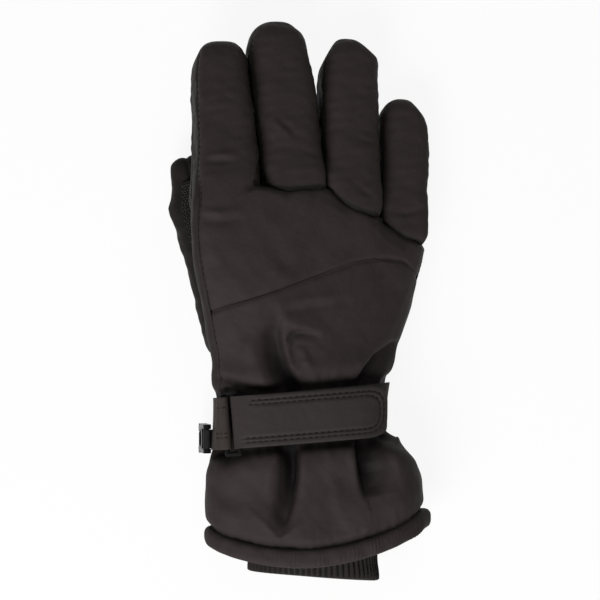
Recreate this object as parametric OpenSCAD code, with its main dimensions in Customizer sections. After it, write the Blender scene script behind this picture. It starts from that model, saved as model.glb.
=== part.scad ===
// Ski glove for the right hand, lying palm down with its thumb tucked under the index side.
// Millimetres. +Y runs from the cuff to the fingertips and +Z is the side of the back.
// Every piece of cloth is a solid of its own, and the parts that turn are drawn as they rest.

/* [Fingers] */
// Index finger, diameter at the knuckle
index_d = 29.6; // [27:0.1:32]
// Middle finger, diameter at the knuckle
middle_d = 30.4; // [28:0.1:33]
// Ring finger, diameter at the knuckle
ring_d = 28.4; // [26:0.1:31]
// Little finger, diameter at the knuckle
little_d = 23.2; // [21:0.1:26]
// Index finger, knuckle to tip
index_l = 78; // [68:1:88]
// Middle finger, knuckle to tip
middle_l = 89; // [78:1:100]
// Ring finger, knuckle to tip
ring_l = 86; // [75:1:97]
// Little finger, knuckle to tip
little_l = 69; // [60:1:78]
// Free space between two neighbouring fingers
finger_gap = 0.6; // [0.5:0.1:1.5]
// Fingertip diameter as a share of the knuckle diameter
tip_share = 0.94; // [0.86:0.01:0.97]
// Lean of the index and middle finger towards the thumb, degrees
finger_lean = 3.5; // [1:0.1:5]
// Height of the index fingertip over the table
index_lift = 18; // [14:0.5:24]
// Height of the middle fingertip over the table
middle_lift = 9; // [5:0.5:14]
// Height of the ring fingertip over the table
ring_lift = 4; // [1:0.5:8]
// Distance of the index and middle knuckles from the middle of the glove
knuckle_y = 52; // [46:1:58]
// How far the ring knuckle sits behind the middle knuckle
ring_back = 5.5; // [3:0.5:8]
// How far the little knuckle sits behind the middle knuckle
little_back = 18.5; // [14:0.5:22]

/* [Thumb] */
// Thumb, diameter at its base
thumb_d = 26; // [23:0.1:28]
// Thumb, base to tip
thumb_l = 92; // [82:1:100]
// Tip diameter of the thumb as a share of its base diameter
thumb_share = 0.86; // [0.78:0.01:0.94]
// Lean of the thumb away from the fingers, degrees
thumb_lean = 14; // [12:0.5:17]
// Height of the thumb's base over the table
thumb_rise = 20; // [18:0.5:22]
// How far the thumb's base sits inside the edge of the hand
thumb_inset = 11; // [9:0.5:13]
// How far the thumb's base sits behind the middle of the glove
thumb_back_y = 18; // [14:0.5:22]
// How far the thumb swings out, degrees
thumb_swing = 40; // [20:1:45]

/* [Hand] */
// Width of the hand halfway along the palm
palm_w = 106; // [98:1:114]
// Height of the back of the hand over its middle
back_t = 20; // [17:0.5:23]
// Depth of the palm under the hand's middle
palm_t = 17; // [15:0.5:19]
// Roll of the hand, thumb side up, degrees
hand_roll = 14.5; // [11:0.5:16]
// Height of the knuckles' middle over the table
knuckle_z = 33; // [31:0.5:36]
// Width of the wrist under the strap
wrist_w = 86; // [78:1:92]
// Thickness of the wrist under the strap
wrist_t = 36; // [32:0.5:40]

/* [Gauntlet] */
// Width of the gauntlet at its fullest
belly_w = 109; // [98:1:118]
// Width of the gauntlet at its hem
hem_w = 111; // [100:1:120]
// Thickness of the gauntlet at its hem
hem_t = 47; // [42:0.5:52]
// Distance of the hem from the middle of the glove, at the sides
hem_y = 117.5; // [112:0.5:124]
// How much longer the hem is on the back than at the sides
hem_drop = 14.5; // [8:0.5:18]
// Height of the binding round the hem
binding_h = 9; // [6:0.5:12]
// Thickness of the binding's cloth
binding_t = 1.1; // [0.8:0.1:1.6]
// Width of the knit cuff at its end
knit_w = 64; // [56:1:70]
// Thickness of the knit cuff at its end
knit_h = 25; // [22:1:28]
// Wall of the knit cuff
knit_wall = 2; // [1.4:0.1:2.6]
// Distance of the knit cuff's end from the middle of the glove
knit_y = 137.5; // [135:0.5:146]

/* [Plies] */
// Thickness of the nylon shell
shell_t = 0.9; // [0.7:0.1:1.2]
// Thickness of the padding in the hand
pad_t = 4; // [3:0.1:5]
// Thickness of the padding in fingers and thumb
finger_pad_t = 2.6; // [2:0.1:3.2]
// Thickness of the padding in the gauntlet
cuff_pad_t = 2; // [1.5:0.1:2.6]
// Thickness of the lining
lining_t = 0.9; // [0.7:0.1:1.2]
// Free space between two plies
ply_gap = 0.15; // [0.1:0.01:0.2]
// Free space beside the outer fingers in the mouth of the hand
mouth_gap = 1; // [0.8:0.05:1.3]
// Free space between a finger's ball and the panel over it
lip_gap = 0.5; // [0.4:0.05:0.6]

/* [Strap] */
// Width of the strap
strap_w = 26; // [22:0.5:30]
// Thickness of the strap's cloth
strap_t = 1.5; // [1.2:0.1:1.8]
// Distance of the strap from the middle of the glove
strap_y = 58; // [55:0.5:60]
// Slope of the strap across the wrist, degrees
strap_tilt = 5.2; // [3:0.1:7]
// Where the free end of the strap stops, degrees round the wrist
tab_end = 28; // [22:1:34]
// Corner radius of the strap's free end
tab_corner = 9; // [6:0.5:11]
// Thickness of the loop and of the hook patch
patch_t = 1.6; // [1.2:0.1:1.7]
// Where the ring sits, degrees round the wrist
ring_angle = 134; // [130:1:137]
// Diameter of the ring's bars
ring_bar = 2.4; // [2:0.1:2.7]
// Distance between the ring's two long bars
ring_pitch = 6.9; // [6.6:0.1:8]
// Thickness of the webbing round the ring and the clip
webbing_t = 1.2; // [0.9:0.1:1.3]

/* [Clip] */
// Radius of the clip's eye
eye_r = 4.5; // [4:0.1:5]
// Radial width of the clip's ring
clip_rim = 2.7; // [2.3:0.1:3]
// Thickness of the clip
clip_t = 4; // [3.2:0.1:4.6]
// Distance from the clip's bar to the middle of its eye
clip_reach = 13; // [12.5:0.1:14]
// Width of the gate
gate_w = 1.8; // [1.5:0.1:2]
// How far the gate opens, degrees
gate_swing = 25; // [10:1:28]
// Tilt of the hanging clip away from the glove, degrees
clip_tilt = 8; // [4:1:12]

/* [Hidden] */
// Smoothness of the turned parts
$fn = 40;
// Running clearance of cloth and plastic on a bar
run = 0.1;
// Angle between two samples round the hand
a_step = 10;
roll_k = tan(hand_roll);
finger_ds = [index_d, middle_d, ring_d, little_d];
finger_ls = [index_l, middle_l, ring_l, little_l];
finger_leans = [finger_lean, finger_lean, 0.6, 0.4];
finger_lifts = [index_lift, middle_lift, ring_lift, 0.3];
finger_ys = [knuckle_y, knuckle_y, knuckle_y - ring_back, knuckle_y - little_back];
row_w = index_d + middle_d + ring_d + little_d + 3 * finger_gap;
row_x = 5.4;
finger_xs = [
    row_x - row_w / 2 + index_d / 2,
    row_x - row_w / 2 + index_d + finger_gap + middle_d / 2,
    row_x + row_w / 2 - little_d - finger_gap - ring_d / 2,
    row_x + row_w / 2 - little_d / 2
];
ball_max = max(finger_ds) / 2;
knuckle_hw = row_w / 2 + mouth_gap + shell_t;
roll_c = sqrt(1 + roll_k * roll_k);
knuckle_t = ball_max * roll_c + lip_gap + shell_t;
// Rise of a thin middle or ring finger to its seat under the back panel
finger_seats = [0, (ball_max - middle_d / 2) * roll_c, (ball_max - ring_d / 2) * roll_c, 0];
wrist_y = -57;
hem_mid = hem_t / 2 + binding_t + ply_gap + 0.3;
// How much of its full width the gauntlet has already where it puffs out under the strap
puff_share = 0.7;
// Sections of the hand: y, middle x, half width, middle z, top, bottom, squareness, roll
keys = [
    [knuckle_y + 6, row_x, knuckle_hw, knuckle_z, knuckle_t, knuckle_t, 4.5, roll_k],
    [knuckle_y - 20, row_x - 0.6, knuckle_hw, knuckle_z, knuckle_t + 0.1, knuckle_t, 4.4, roll_k],
    [0, 3.5, palm_w / 2, 30, back_t, palm_t, 3, 0.84 * roll_k],
    [-42, 0.5, wrist_w / 2, 28, wrist_t / 2 + 1, wrist_t / 2 - 1, 2.4, 0.36 * roll_k],
    [-70, 0.9, wrist_w / 2 + 0.5, 27, wrist_t / 2 + 1, wrist_t / 2 - 1, 2.4, 0.2 * roll_k],
    [-82, 6.5, mix(wrist_w, belly_w, puff_share) / 2, mix(27, hem_mid, 0.4), mix(wrist_t / 2 + 1, hem_t / 2, 0.4),
        mix(wrist_t / 2 - 1, hem_t / 2, 0.4), 2.4, 0.1 * roll_k],
    [-98, 7, belly_w / 2, hem_mid, hem_t / 2 - 0.5, hem_t / 2 - 0.5, 2.4, 0],
    [-122, 8.5, hem_w / 2, hem_mid, hem_t / 2, hem_t / 2, 2.4, 0],
    [-146, 8.8, hem_w / 2 - 0.5, hem_mid, hem_t / 2, hem_t / 2, 2.4, 0]
];
key_last = len(keys) - 1;
// Depths of the plies under the outer face
hand_pad_d = shell_t + ply_gap;
hand_lining_d = hand_pad_d + pad_t + ply_gap;
hand_wall = hand_lining_d + lining_t;
cuff_pad_d = shell_t + ply_gap;
cuff_lining_d = cuff_pad_d + cuff_pad_t + ply_gap;
cuff_wall = cuff_lining_d + lining_t;
finger_pad_d = shell_t + ply_gap;
finger_lining_d = finger_pad_d + finger_pad_t + ply_gap;
finger_wall = finger_lining_d + lining_t;
// Panel edges round the hand
back_a0 = -10;
back_a1 = 150;
side_a1 = 200;
palm_a1 = 350;
// Rows of facets below and above the diagonal seam, and in the folded cloth
rows_low = 6;
rows_high = 5;
rows_fold = 9;
rows_cuff = 8;
// Length of the facets of the folded cloth round the hand
fold_step = 4.8;
// Ends of the elastic, of the hand's padding and of the gauntlet's plies
elastic_high = -49;
elastic_low = -66;
pad_y = -44;
cuff_y = -72;
palm_setback = 0.62 * ball_max;
// Stack of the strap over the wrist
strap_rest = 0.3;
base_top = strap_rest + 1.2;
bar_hole = ring_bar / 2 + run;
bar_lift = bar_hole + strap_t + 1.2;
tab_low = bar_lift + bar_hole;
tab_top = tab_low + strap_t;
ring_len = strap_w + 2 + 2 * ring_bar;
// Main folds of the cloth above and below the strap: height, width, and points that give
// the share of half the wrist's width, the distance from the strap's edge and the share of the height
hand_folds = [
    [-3.5, 5.5, [[-0.08, 0, 1], [-0.14, 9, 0.9], [-0.19, 19, 0.6], [-0.2, 26, 0.4], [-0.12, 32, 0.15]]],
    [-3.4, 4, [[0.72, 2, 1], [0.74, 9, 1], [0.88, 16.5, 0.9], [1.09, 22, 0.5]]],
    [1.6, 4, [[0.67, 8, 0.4], [0.81, 17.5, 1], [0.98, 25, 0.9], [1.23, 31.5, 0.3]]],
    [-1.8, 3.6, [[-0.95, 3.5, 0.7], [-0.72, 2, 1], [-0.47, -0.5, 0.5]]],
    [1.3, 4, [[-0.17, 38, 0.5], [-0.01, 37.5, 1], [0.21, 33.5, 1], [0.33, 30.5, 0.2]]],
    [1.8, 7, [[-0.7, 10, 0.6], [-0.45, 11, 1], [-0.3, 10, 0.6]]],
    [1.8, 7, [[0.15, 9, 0.7], [0.35, 11, 1], [0.5, 10, 0.6]]]
];
cuff_folds = [
    [-4.2, 4.2, [[-0.12, 0, 1], [-0.135, 19, 0.85], [-0.16, 30, 0.5], [-0.21, 43, 0.2]]],
    [1.6, 4, [[0.02, 7, 0.6], [0.07, 24, 1], [0.12, 37, 0.2]]],
    [1.6, 4, [[-0.26, 5, 0.6], [-0.31, 13, 1], [-0.35, 24, 0.4]]],
    [-3.6, 6.5, [[0.81, 6, 0.8], [0.9, 13, 1], [0.93, 19, 0.8]]],
    [-2.6, 4.2, [[-0.98, 4, 0.8], [-0.81, 7.5, 1], [-0.65, 6, 0.4]]],
    [2, 7, [[-0.7, 17, 0.6], [-0.5, 14, 1]]],
    [2, 7, [[0.35, 13, 1], [0.5, 16, 0.6]]]
];
// How much of a fold still shows in the gauntlet's lining
lining_fold = 0.4;

function mix(a, b, t) = a + (b - a) * t;
function smooth(t) = t * t * (3 - 2 * t);
function clamp01(t) = max(0, min(1, t));
function spow(v, e) = sign(v) * pow(abs(v), e);

// Section of the hand at y, smooth through the keys
function key_of(y, i = 0) = (i >= key_last - 1 || y >= keys[i + 1][0]) ? i : key_of(y, i + 1);
function key_slope(i) =
    let (a = keys[max(0, i - 1)], b = keys[min(key_last, i + 1)])
    (b - a) / (b[0] - a[0]);
function section(y) =
    let (
        i = key_of(y),
        a = keys[i],
        b = keys[i + 1],
        h = b[0] - a[0],
        t = (y - a[0]) / h,
        s = t * t
    )
    (2 * s * t - 3 * s + 1) * a + (s * t - 2 * s + t) * h * key_slope(i)
    + (3 * s - 2 * s * t) * b + (s * t - s) * h * key_slope(i + 1);

// Point of a rounded section at angle a, depth d under its outer face
function round_at(s, y, a, d) =
    let (
        e = 2 / s[6],
        x = (s[2] - d) * spow(cos(a), e),
        z = ((sin(a) >= 0 ? s[4] : s[5]) - d) * spow(sin(a), e)
    )
    [s[1] + x, y, s[3] - s[7] * x + z];
function skin(y, a, d) = round_at(section(y), y, a, d);
function mid_z(x, y) = let (s = section(y)) s[3] - s[7] * (x - s[1]);

// Edges of the panels as functions of the angle round the hand
knuckle_line = [for (i = [0:3]) [finger_xs[i], finger_ys[i]]];
function row_at(a) = skin(knuckle_y - 8, a, 0)[0];
function lip_y(a) =
    lookup(row_at(a), knuckle_line) - 0.5
    - palm_setback * smooth(clamp01(-sin(a) / 0.8));
function ply_y(a) = lookup(row_at(a), knuckle_line) - ball_max - 1.5;
diagonal = [[-48, -7], [-10, 5], [37.5, 20.5], [57, 11]];
function seam_y(a) = lookup(skin(5, a, 0)[0], diagonal);
function edge_y(a) = -hem_y + 4.5 * cos(a) - hem_drop * pow(max(0, sin(a)), 2);
function levels(a) = concat(
    [for (r = [0:rows_low]) mix(wrist_y, seam_y(a), r / rows_low)],
    [for (r = [1:rows_high]) mix(seam_y(a), lip_y(a), r / rows_high)]
);
function fold_levels(a) = concat([wrist_y, elastic_high], spread(pad_y, seam_y(a), rows_fold));
function cuff_levels(a) = concat(spread(edge_y(a), cuff_y, rows_cuff), [elastic_low, wrist_y]);
function spread(y0, y1, rows) = [for (r = [0:rows]) mix(y0, y1, r / rows)];
function span(a0, a1, step) =
    let (n = max(1, round((a1 - a0) / step)))
    [for (i = [0:n]) mix(a0, a1, i / n)];
around = [for (a = [0:a_step:359]) a];
// Angles from a0 to a1 that lie the same length apart on the section at y
function runs(p) = [for (i = 0, s = 0; i < len(p); s = s + norm(p[min(i + 1, len(p) - 1)] - p[i]), i = i + 1) s];
function even(a0, a1, y) =
    let (
        as = [for (a = [a0:2:a1]) a],
        at = runs([for (a = as) skin(y, a, 0)]),
        last = len(as) - 1,
        n = round(at[last] / fold_step)
    )
    [for (i = [0:n]) lookup(at[last] * i / n, [for (k = [0:last]) [at[k], as[k]]])];
function but_last(v) = [for (i = [0:len(v) - 2]) v[i]];
back_turn = even(back_a0, back_a1, -40);
cuff_turn = even(back_a0, back_a1 + 30, -90);
hand_around = concat(but_last(back_turn), but_last(span(back_a1, palm_a1, a_step)));
cuff_around = concat(but_last(cuff_turn), but_last(span(back_a1 + 30, palm_a1, a_step)));

// Folds: nearest point of a fold's line, its rise there, and the rise of all folds of a cloth
function on_line(p, a, b) =
    let (d = [b[0] - a[0], b[1] - a[1]], t = clamp01([p[0] - a[0], p[1] - a[1]] * d / (d * d)))
    [norm([p[0] - a[0], p[1] - a[1]] - t * d), mix(a[2], b[2], t)];
function fold_rise(p, height, width, line) =
    let (
        hits = [for (i = [0:len(line) - 2]) on_line(p, line[i], line[i + 1])],
        near = min([for (h = hits) h[0]])
    )
    height * exp(-pow(near / width, 2)) * [for (h = hits) if (h[0] == near) h[1]][0];
function total(v, i = 0) = i < len(v) ? v[i] + total(v, i + 1) : 0;
function fold_line(line, way) =
    [for (q = line) [q[0] * wrist_w / 2, -strap_y + way * (strap_w / 2 + q[1]), q[2]]];
function fold_at(p, folds, way) =
    total([for (f = folds) fold_rise(p, f[0], f[1], fold_line(f[2], way))]);
// Folds fade out towards the seams at a0 and a1 and stay clear of the strap
function facing(a, a0, a1) = smooth(clamp01((a - a0) / 25)) * smooth(clamp01((a1 - a) / 25));
function off_strap(p) = smooth(clamp01((abs(p[1] - strap_mid(p[0])) - strap_w / 2 - 0.5) / 2));
// Strips of folded cloth; a fold fades to the share keep where the ply reaches the depth wall
function fold_skin(y, a, d, rise, wall, keep) =
    skin(y, a, d - rise * mix(1, keep, clamp01(d / wall)));
function fold_strip(a, ys, d0, d1, rises, wall, keep) = concat(
    [for (i = [0:len(ys) - 1]) fold_skin(ys[i], a, d0, rises[i], wall, keep)],
    [for (i = [len(ys) - 1:-1:0]) fold_skin(ys[i], a, d1, rises[i], wall, keep)]
);
function hand_strip(a, ys, d0, d1) =
    let (f = facing(a, back_a0, back_a1))
    fold_strip(
        a, ys, d0, d1,
        [for (y = ys) let (p = skin(y, a, 0)) y >= seam_y(a) ? 0 : f * off_strap(p) * fold_at(p, hand_folds, 1)],
        hand_lining_d, 0
    );
function cuff_strip(a, ys, d0, d1) =
    let (f = facing(a, back_a0, back_a1 + 30))
    fold_strip(
        a, ys, d0, d1,
        [for (y = ys) let (p = skin(y, a, 0)) f * off_strap(p) * fold_at(p, cuff_folds, -1)],
        cuff_lining_d, lining_fold
    );

// One closed strip across a ply: up its outer face and back down its inner face
function strip(a, ys, d0, d1) = concat(
    [for (y = ys) skin(y, a, d0)],
    [for (i = [len(ys) - 1:-1:0]) skin(ys[i], a, d1)]
);

// Solid swept through a list of strips
module sweep(rings, closed = false) {
    n = len(rings[0]);
    m = len(rings);
    sides = [
        for (i = [0:(closed ? m : m - 1) - 1], j = [0:n - 1])
        let (
            a = i * n + j,
            b = i * n + (j + 1) % n,
            c = ((i + 1) % m) * n + j,
            d = ((i + 1) % m) * n + (j + 1) % n
        )
        each (j < n / 2 ? [[a, c, b], [b, c, d]] : [[a, c, d], [a, d, b]])
    ];
    caps = [
        for (e = [0, 1], j = [0:n / 2 - 2])
        let (
            base = e * (m - 1) * n,
            a = base + j,
            b = base + j + 1,
            c = base + n - 2 - j,
            d = base + n - 1 - j
        )
        each (e == 0 ? [[a, b, c], [a, c, d]] : [[a, c, b], [a, d, c]])
    ];
    polyhedron(
        points = [for (r = rings) each r],
        faces = closed ? sides : concat(sides, caps)
    );
}

// Finger sizes and places
function tip_r(i) = finger_ds[i] / 2 * tip_share;
function knuckle_at(i) =
    [finger_xs[i], finger_ys[i], mid_z(finger_xs[i], finger_ys[i]) + finger_seats[i]];
function droop(i) =
    asin((knuckle_at(i)[2] - finger_lifts[i] - tip_r(i)) / (finger_ls[i] - tip_r(i)));

// Outline of a turned finger, depth d under its outer face, from its open ball to its tip
function turned(r, l, d, open, share, blunt) =
    let (
        rt = r * share,
        sd = l - rt,
        side = function (s) r * (1 + 0.02 * sin(180 * s / sd)) - r * (1 - share) * s * s / sd / sd - d
    )
    concat(
        [for (i = [0:5]) let (f = mix(open, 90, i / 5)) [(r - d) * sin(f), -(r - d) * cos(f)]],
        [for (i = [1:6]) [side(sd * i / 6), sd * i / 6]],
        [for (i = [1:5]) let (f = 18 * i) (rt - d) * [pow(cos(f), blunt), pow(sin(f), blunt)] + [0, sd]]
    );
function reversed(v) = [for (i = [len(v) - 1:-1:0]) v[i]];

// One ply of a finger over part of its turn; angle 0 is the back of the finger
module finger_ply(r, l, d0, d1, open, a0 = -180, a1 = 180, share = tip_share, blunt = 0.8) {
    rotate([0, 0, 270 + a0])
        rotate_extrude(angle = a1 - a0)
            polygon(concat(
                turned(r, l, d0, open, share, blunt), reversed(turned(r, l, d1, open, share, blunt))
            ));
}

module at_finger(i) {
    translate(knuckle_at(i))
        rotate([0, 0, finger_leans[i]])
            rotate([-90 - droop(i), 0, 0])
                rotate([0, 0, hand_roll])
                    children();
}

ball_open = 60;
back_half = 62;
side_span = 46;
module finger_back(i) {
    at_finger(i)
        finger_ply(finger_ds[i] / 2, finger_ls[i], 0, shell_t, ball_open, -back_half, back_half);
}
module finger_sides(i) {
    at_finger(i)
        for (a = [back_half, -back_half - side_span])
            finger_ply(finger_ds[i] / 2, finger_ls[i], 0, shell_t, ball_open, a, a + side_span);
}
module finger_palm(i) {
    at_finger(i)
        finger_ply(
            finger_ds[i] / 2, finger_ls[i], 0, shell_t, ball_open,
            back_half + side_span, 360 - back_half - side_span
        );
}
module finger_padding(i) {
    at_finger(i)
        finger_ply(
            finger_ds[i] / 2, finger_ls[i], finger_pad_d, finger_pad_d + finger_pad_t, ball_open
        );
}
module finger_lining(i) {
    at_finger(i)
        finger_ply(finger_ds[i] / 2, finger_ls[i], finger_lining_d, finger_wall, ball_open);
}

// Thumb
thumb_r = thumb_d / 2;
thumb_tip = thumb_r * thumb_share;
thumb_base = [
    section(-thumb_back_y)[1] - section(-thumb_back_y)[2] + thumb_inset,
    -thumb_back_y,
    thumb_rise
];
thumb_droop = asin((thumb_rise - 0.3 - thumb_tip) / (thumb_l - thumb_tip));
passage_r = 0.6 * thumb_r;
module at_thumb(swing = 0) {
    translate(thumb_base)
        rotate([0, 0, thumb_lean + swing])
            rotate([-90 - thumb_droop, 0, 0])
                children();
}
module thumb_ply(d0, d1, a0 = -180, a1 = 180) {
    difference() {
        at_thumb() finger_ply(thumb_r, thumb_l, d0, d1, 0, a0, a1, thumb_share, 1);
        translate(thumb_base) cylinder(r = passage_r, h = 2 * thumb_r);
    }
}
// Room that the thumb needs in the hand over its whole swing
module thumb_room() {
    hull()
        for (i = [0:6])
            at_thumb(thumb_swing * i / 6)
                hull() {
                    sphere(r = 1.02 * thumb_r + 0.8, $fn = 24);
                    translate([0, 0, thumb_l - thumb_tip]) sphere(r = thumb_tip + 2.6, $fn = 16);
                }
    translate(thumb_base) cylinder(r = passage_r, h = 2.4 * thumb_r, $fn = 24);
}

// Hand
module back_upper_panel() {
    color([0.19, 0.17, 0.17])
        sweep([for (a = back_turn)
            strip(a, [for (r = [rows_low:rows_low + rows_high]) levels(a)[r]], 0, shell_t)]);
}
module back_lower_panel() {
    color([0.24, 0.22, 0.22])
        sweep([for (a = back_turn) hand_strip(a, fold_levels(a), 0, shell_t)]);
}
module side_panel() {
    color([0.17, 0.15, 0.15])
        difference() {
            sweep([for (a = span(back_a1, side_a1, a_step)) strip(a, levels(a), 0, shell_t)]);
            thumb_room();
        }
}
module palm_panel() {
    color([0.13, 0.12, 0.12])
        difference() {
            sweep([for (a = span(side_a1, palm_a1, a_step)) strip(a, levels(a), 0, shell_t)]);
            thumb_room();
        }
}
module palm_grip() {
    color([0.09, 0.09, 0.09])
        sweep([for (a = span(270, 330, a_step)) strip(a, spread(-14, 24, 4), -0.9, -0.2)]);
}
module hand_padding() {
    color([0.75, 0.75, 0.72])
        difference() {
            sweep(
                [for (a = hand_around)
                    hand_strip(
                        a, concat(but_last(spread(pad_y, seam_y(a), rows_fold)), spread(seam_y(a), ply_y(a), 3)),
                        hand_pad_d, hand_pad_d + pad_t
                    )],
                closed = true
            );
            thumb_room();
        }
}
module hand_lining() {
    color([0.25, 0.25, 0.26])
        difference() {
            sweep(
                [for (a = hand_around) strip(a, spread(cuff_y, ply_y(a), 8), hand_lining_d, hand_wall)],
                closed = true
            );
            thumb_room();
        }
}
module wrist_elastic() {
    color([0.1, 0.1, 0.1])
        sweep(
            [for (a = hand_around) strip(a, spread(elastic_low, elastic_high - 0.6, 3), hand_pad_d, hand_pad_d + 1)],
            closed = true
        );
}

// Gauntlet
module gauntlet_back() {
    color([0.25, 0.23, 0.22])
        sweep([for (a = cuff_turn) cuff_strip(a, cuff_levels(a), 0, shell_t)]);
}
module gauntlet_palm() {
    color([0.2, 0.18, 0.18])
        sweep([for (a = span(back_a1 + 30, palm_a1, a_step))
            strip(a, cuff_levels(a), 0, shell_t)]);
}
module gauntlet_padding() {
    color([0.75, 0.75, 0.72])
        sweep(
            [for (a = cuff_around)
                cuff_strip(a, spread(edge_y(a), cuff_y, rows_cuff), cuff_pad_d, cuff_pad_d + cuff_pad_t)],
            closed = true
        );
}
module gauntlet_lining() {
    color([0.16, 0.16, 0.17])
        sweep(
            [for (a = cuff_around)
                cuff_strip(a, spread(edge_y(a), cuff_y, rows_cuff), cuff_lining_d, cuff_wall)],
            closed = true
        );
}
// The binding folds round the raw edge: up the outside, under it and up the inside
function binding_ring(a) =
    let (
        y = edge_y(a),
        o = -ply_gap,
        i = cuff_wall + ply_gap,
        t = binding_t,
        u = y - ply_gap
    )
    [
        skin(y + binding_h, a, o - t), skin(u - t, a, o - t),
        skin(u - t, a, i + t), skin(y + binding_h, a, i + t),
        skin(y + binding_h, a, i), skin(u, a, i),
        skin(u, a, o), skin(y + binding_h, a, o)
    ];
module hem_binding() {
    color([0.15, 0.13, 0.13])
        sweep([for (a = cuff_around) reversed(binding_ring(a))], closed = true);
}
// The knit cuff starts inside the wrist's lining and runs out past the hem
knit_top = -58;
function knit_section(y) =
    let (s = section(max(y, -72)), t = smooth(clamp01((-72 - y) / 34)))
    [
        y,
        mix(s[1], 6.5, t),
        mix(s[2] - hand_wall - 0.2, knit_w / 2, t),
        mix(s[3], hem_mid - 1, t),
        mix(s[4] - hand_wall - 0.2, knit_h / 2, t),
        mix(s[5] - hand_wall - 0.2, knit_h / 2, t),
        2.4,
        mix(s[7], 0, t)
    ];
function knit_strip(a) =
    let (ys = concat([knit_top, -65], spread(-72, -knit_y - 2.5 * cos(a), 6)))
    concat(
        [for (y = ys) round_at(knit_section(y), y, a, 0)],
        [for (y = reversed(ys)) round_at(knit_section(y), y, a, knit_wall)]
    );
module knit_cuff() {
    color([0.13, 0.11, 0.11])
        sweep([for (a = around) reversed(knit_strip(a))], closed = true);
}

// Strap
function strap_mid(x) = -strap_y + tan(strap_tilt) * x;
function strap_skin(a, d) =
    let (x = skin(-strap_y, a, d)[0])
    skin(strap_mid(x), a, d);
// Length along the wrist of one degree at angle a
function arc_of(a) = norm(strap_skin(a + 1, -bar_lift) - strap_skin(a - 1, -bar_lift)) / 2;
ring_at = strap_skin(ring_angle, -bar_lift);
ring_run = skin(ring_at[1], ring_angle - 2, -bar_lift) - skin(ring_at[1], ring_angle + 2, -bar_lift);
ring_tilt = atan2(ring_run[2], ring_run[0]);
tab_start = ring_angle - ring_pitch / 2 / arc_of(ring_angle);
base_start = tab_start - (bar_hole + strap_t + 0.5) / arc_of(tab_start);
keeper_start = ring_angle + ring_pitch / 2 / arc_of(ring_angle);
module at_ring() {
    translate(ring_at)
        rotate([0, -ring_tilt, 0])
            rotate([0, 0, strap_tilt])
                children();
}
module bar_along_y(r, l) {
    translate([0, l / 2, 0]) rotate([90, 0, 0]) cylinder(r = r, h = l);
}
// A strap ply over part of the wrist, w wide, its far end rounded when corner is over zero
function strap_strip(a, w, d0, d1, half) =
    let (x = skin(-strap_y, a, d0)[0], y = strap_mid(x))
    strip(a, spread(y - w / 2 + half, y + w / 2 - half, 4), d0, d1);
// How much the strap's free end is narrowed at angle a by its rounded corners
function corner_cut(a) =
    let (s = (a - tab_end) * arc_of(tab_end + 6), u = clamp01(1 - s / tab_corner))
    tab_corner * (1 - sqrt(1 - u * u));
module strap_base() {
    color([0.14, 0.13, 0.13])
        sweep([for (a = span(4, base_start, 6)) strap_strip(a, strap_w, -base_top, -strap_rest, 0)]);
}
module strap_loop_patch() {
    color([0.1, 0.1, 0.1])
        sweep([for (a = span(tab_end + 4, 78, 6))
            strap_strip(a, strap_w - 5, -base_top - 0.1 - patch_t, -base_top - 0.1, 0)]);
}
module strap_hook_patch() {
    color([0.12, 0.12, 0.12])
        sweep([for (a = span(tab_end + 8, 62, 6))
            strap_strip(a, strap_w - 7, -tab_low + 0.1, -tab_low + 0.1 + patch_t, 0)]);
}
module strap_tab() {
    color([0.22, 0.2, 0.2])
        difference() {
            union() {
                sweep([for (a = concat(span(tab_end, tab_end + 12, 2), span(tab_end + 18, tab_start, 6)))
                    strap_strip(a, strap_w, -tab_top, -tab_low, corner_cut(a))]);
                at_ring()
                    translate([ring_pitch / 2, 0, 0])
                        bar_along_y(bar_hole + strap_t, strap_w);
            }
            at_ring() translate([ring_pitch / 2, 0, 0]) bar_along_y(bar_hole, strap_w + 4);
        }
}
module strap_ring() {
    color([0.06, 0.06, 0.06])
        at_ring() {
            for (x = [-1, 1]) translate([x * ring_pitch / 2, 0, 0]) bar_along_y(ring_bar / 2, ring_len - ring_bar);
            for (y = [-1, 1])
                translate([-ring_pitch / 2, y * (ring_len - ring_bar) / 2, 0])
                    rotate([0, 90, 0]) cylinder(d = ring_bar, h = ring_pitch);
            for (x = [-1, 1], y = [-1, 1])
                translate([x * ring_pitch / 2, y * (ring_len - ring_bar) / 2, 0]) sphere(d = ring_bar);
        }
}
module ring_keeper() {
    color([0.2, 0.18, 0.17])
        difference() {
            union() {
                sweep([for (a = span(keeper_start, 170, 6))
                    strap_strip(a, strap_w, -base_top, -strap_rest, 0)]);
                at_ring()
                    translate([-ring_pitch / 2, 0, 0])
                        bar_along_y(bar_hole + webbing_t, strap_w);
                at_ring()
                    translate([-ring_pitch / 2 - bar_hole - webbing_t, -strap_w / 2, -bar_lift + strap_rest + 0.4])
                        cube([webbing_t, strap_w, bar_lift - strap_rest - 0.4]);
            }
            at_ring() translate([-ring_pitch / 2, 0, 0]) bar_along_y(bar_hole, strap_w + 4);
        }
}

// Clip
loop_len = 9.4;
ear_w = 2.2;
clip_bar = 2.4;
clip_y = -69.5;
clip_seam = skin(clip_y, 180, 0);
clip_pin = [clip_seam[0] - 3.9, clip_y, clip_seam[2]];
lobe_at = eye_r + 3.1;
lobe_angle = 42;
pivot_y = -lobe_at * sin(lobe_angle);
pivot_z = -clip_reach - lobe_at * cos(lobe_angle);
pivot_r = 1.25;
lobe_r = 2.6;
nose_r = 2.1;
module at_clip() {
    translate(clip_pin) rotate([0, clip_tilt, 0]) children();
}
module disc(r, h = clip_t) {
    translate([-h / 2, 0, 0]) rotate([0, 90, 0]) cylinder(r = r, h = h);
}
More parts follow.
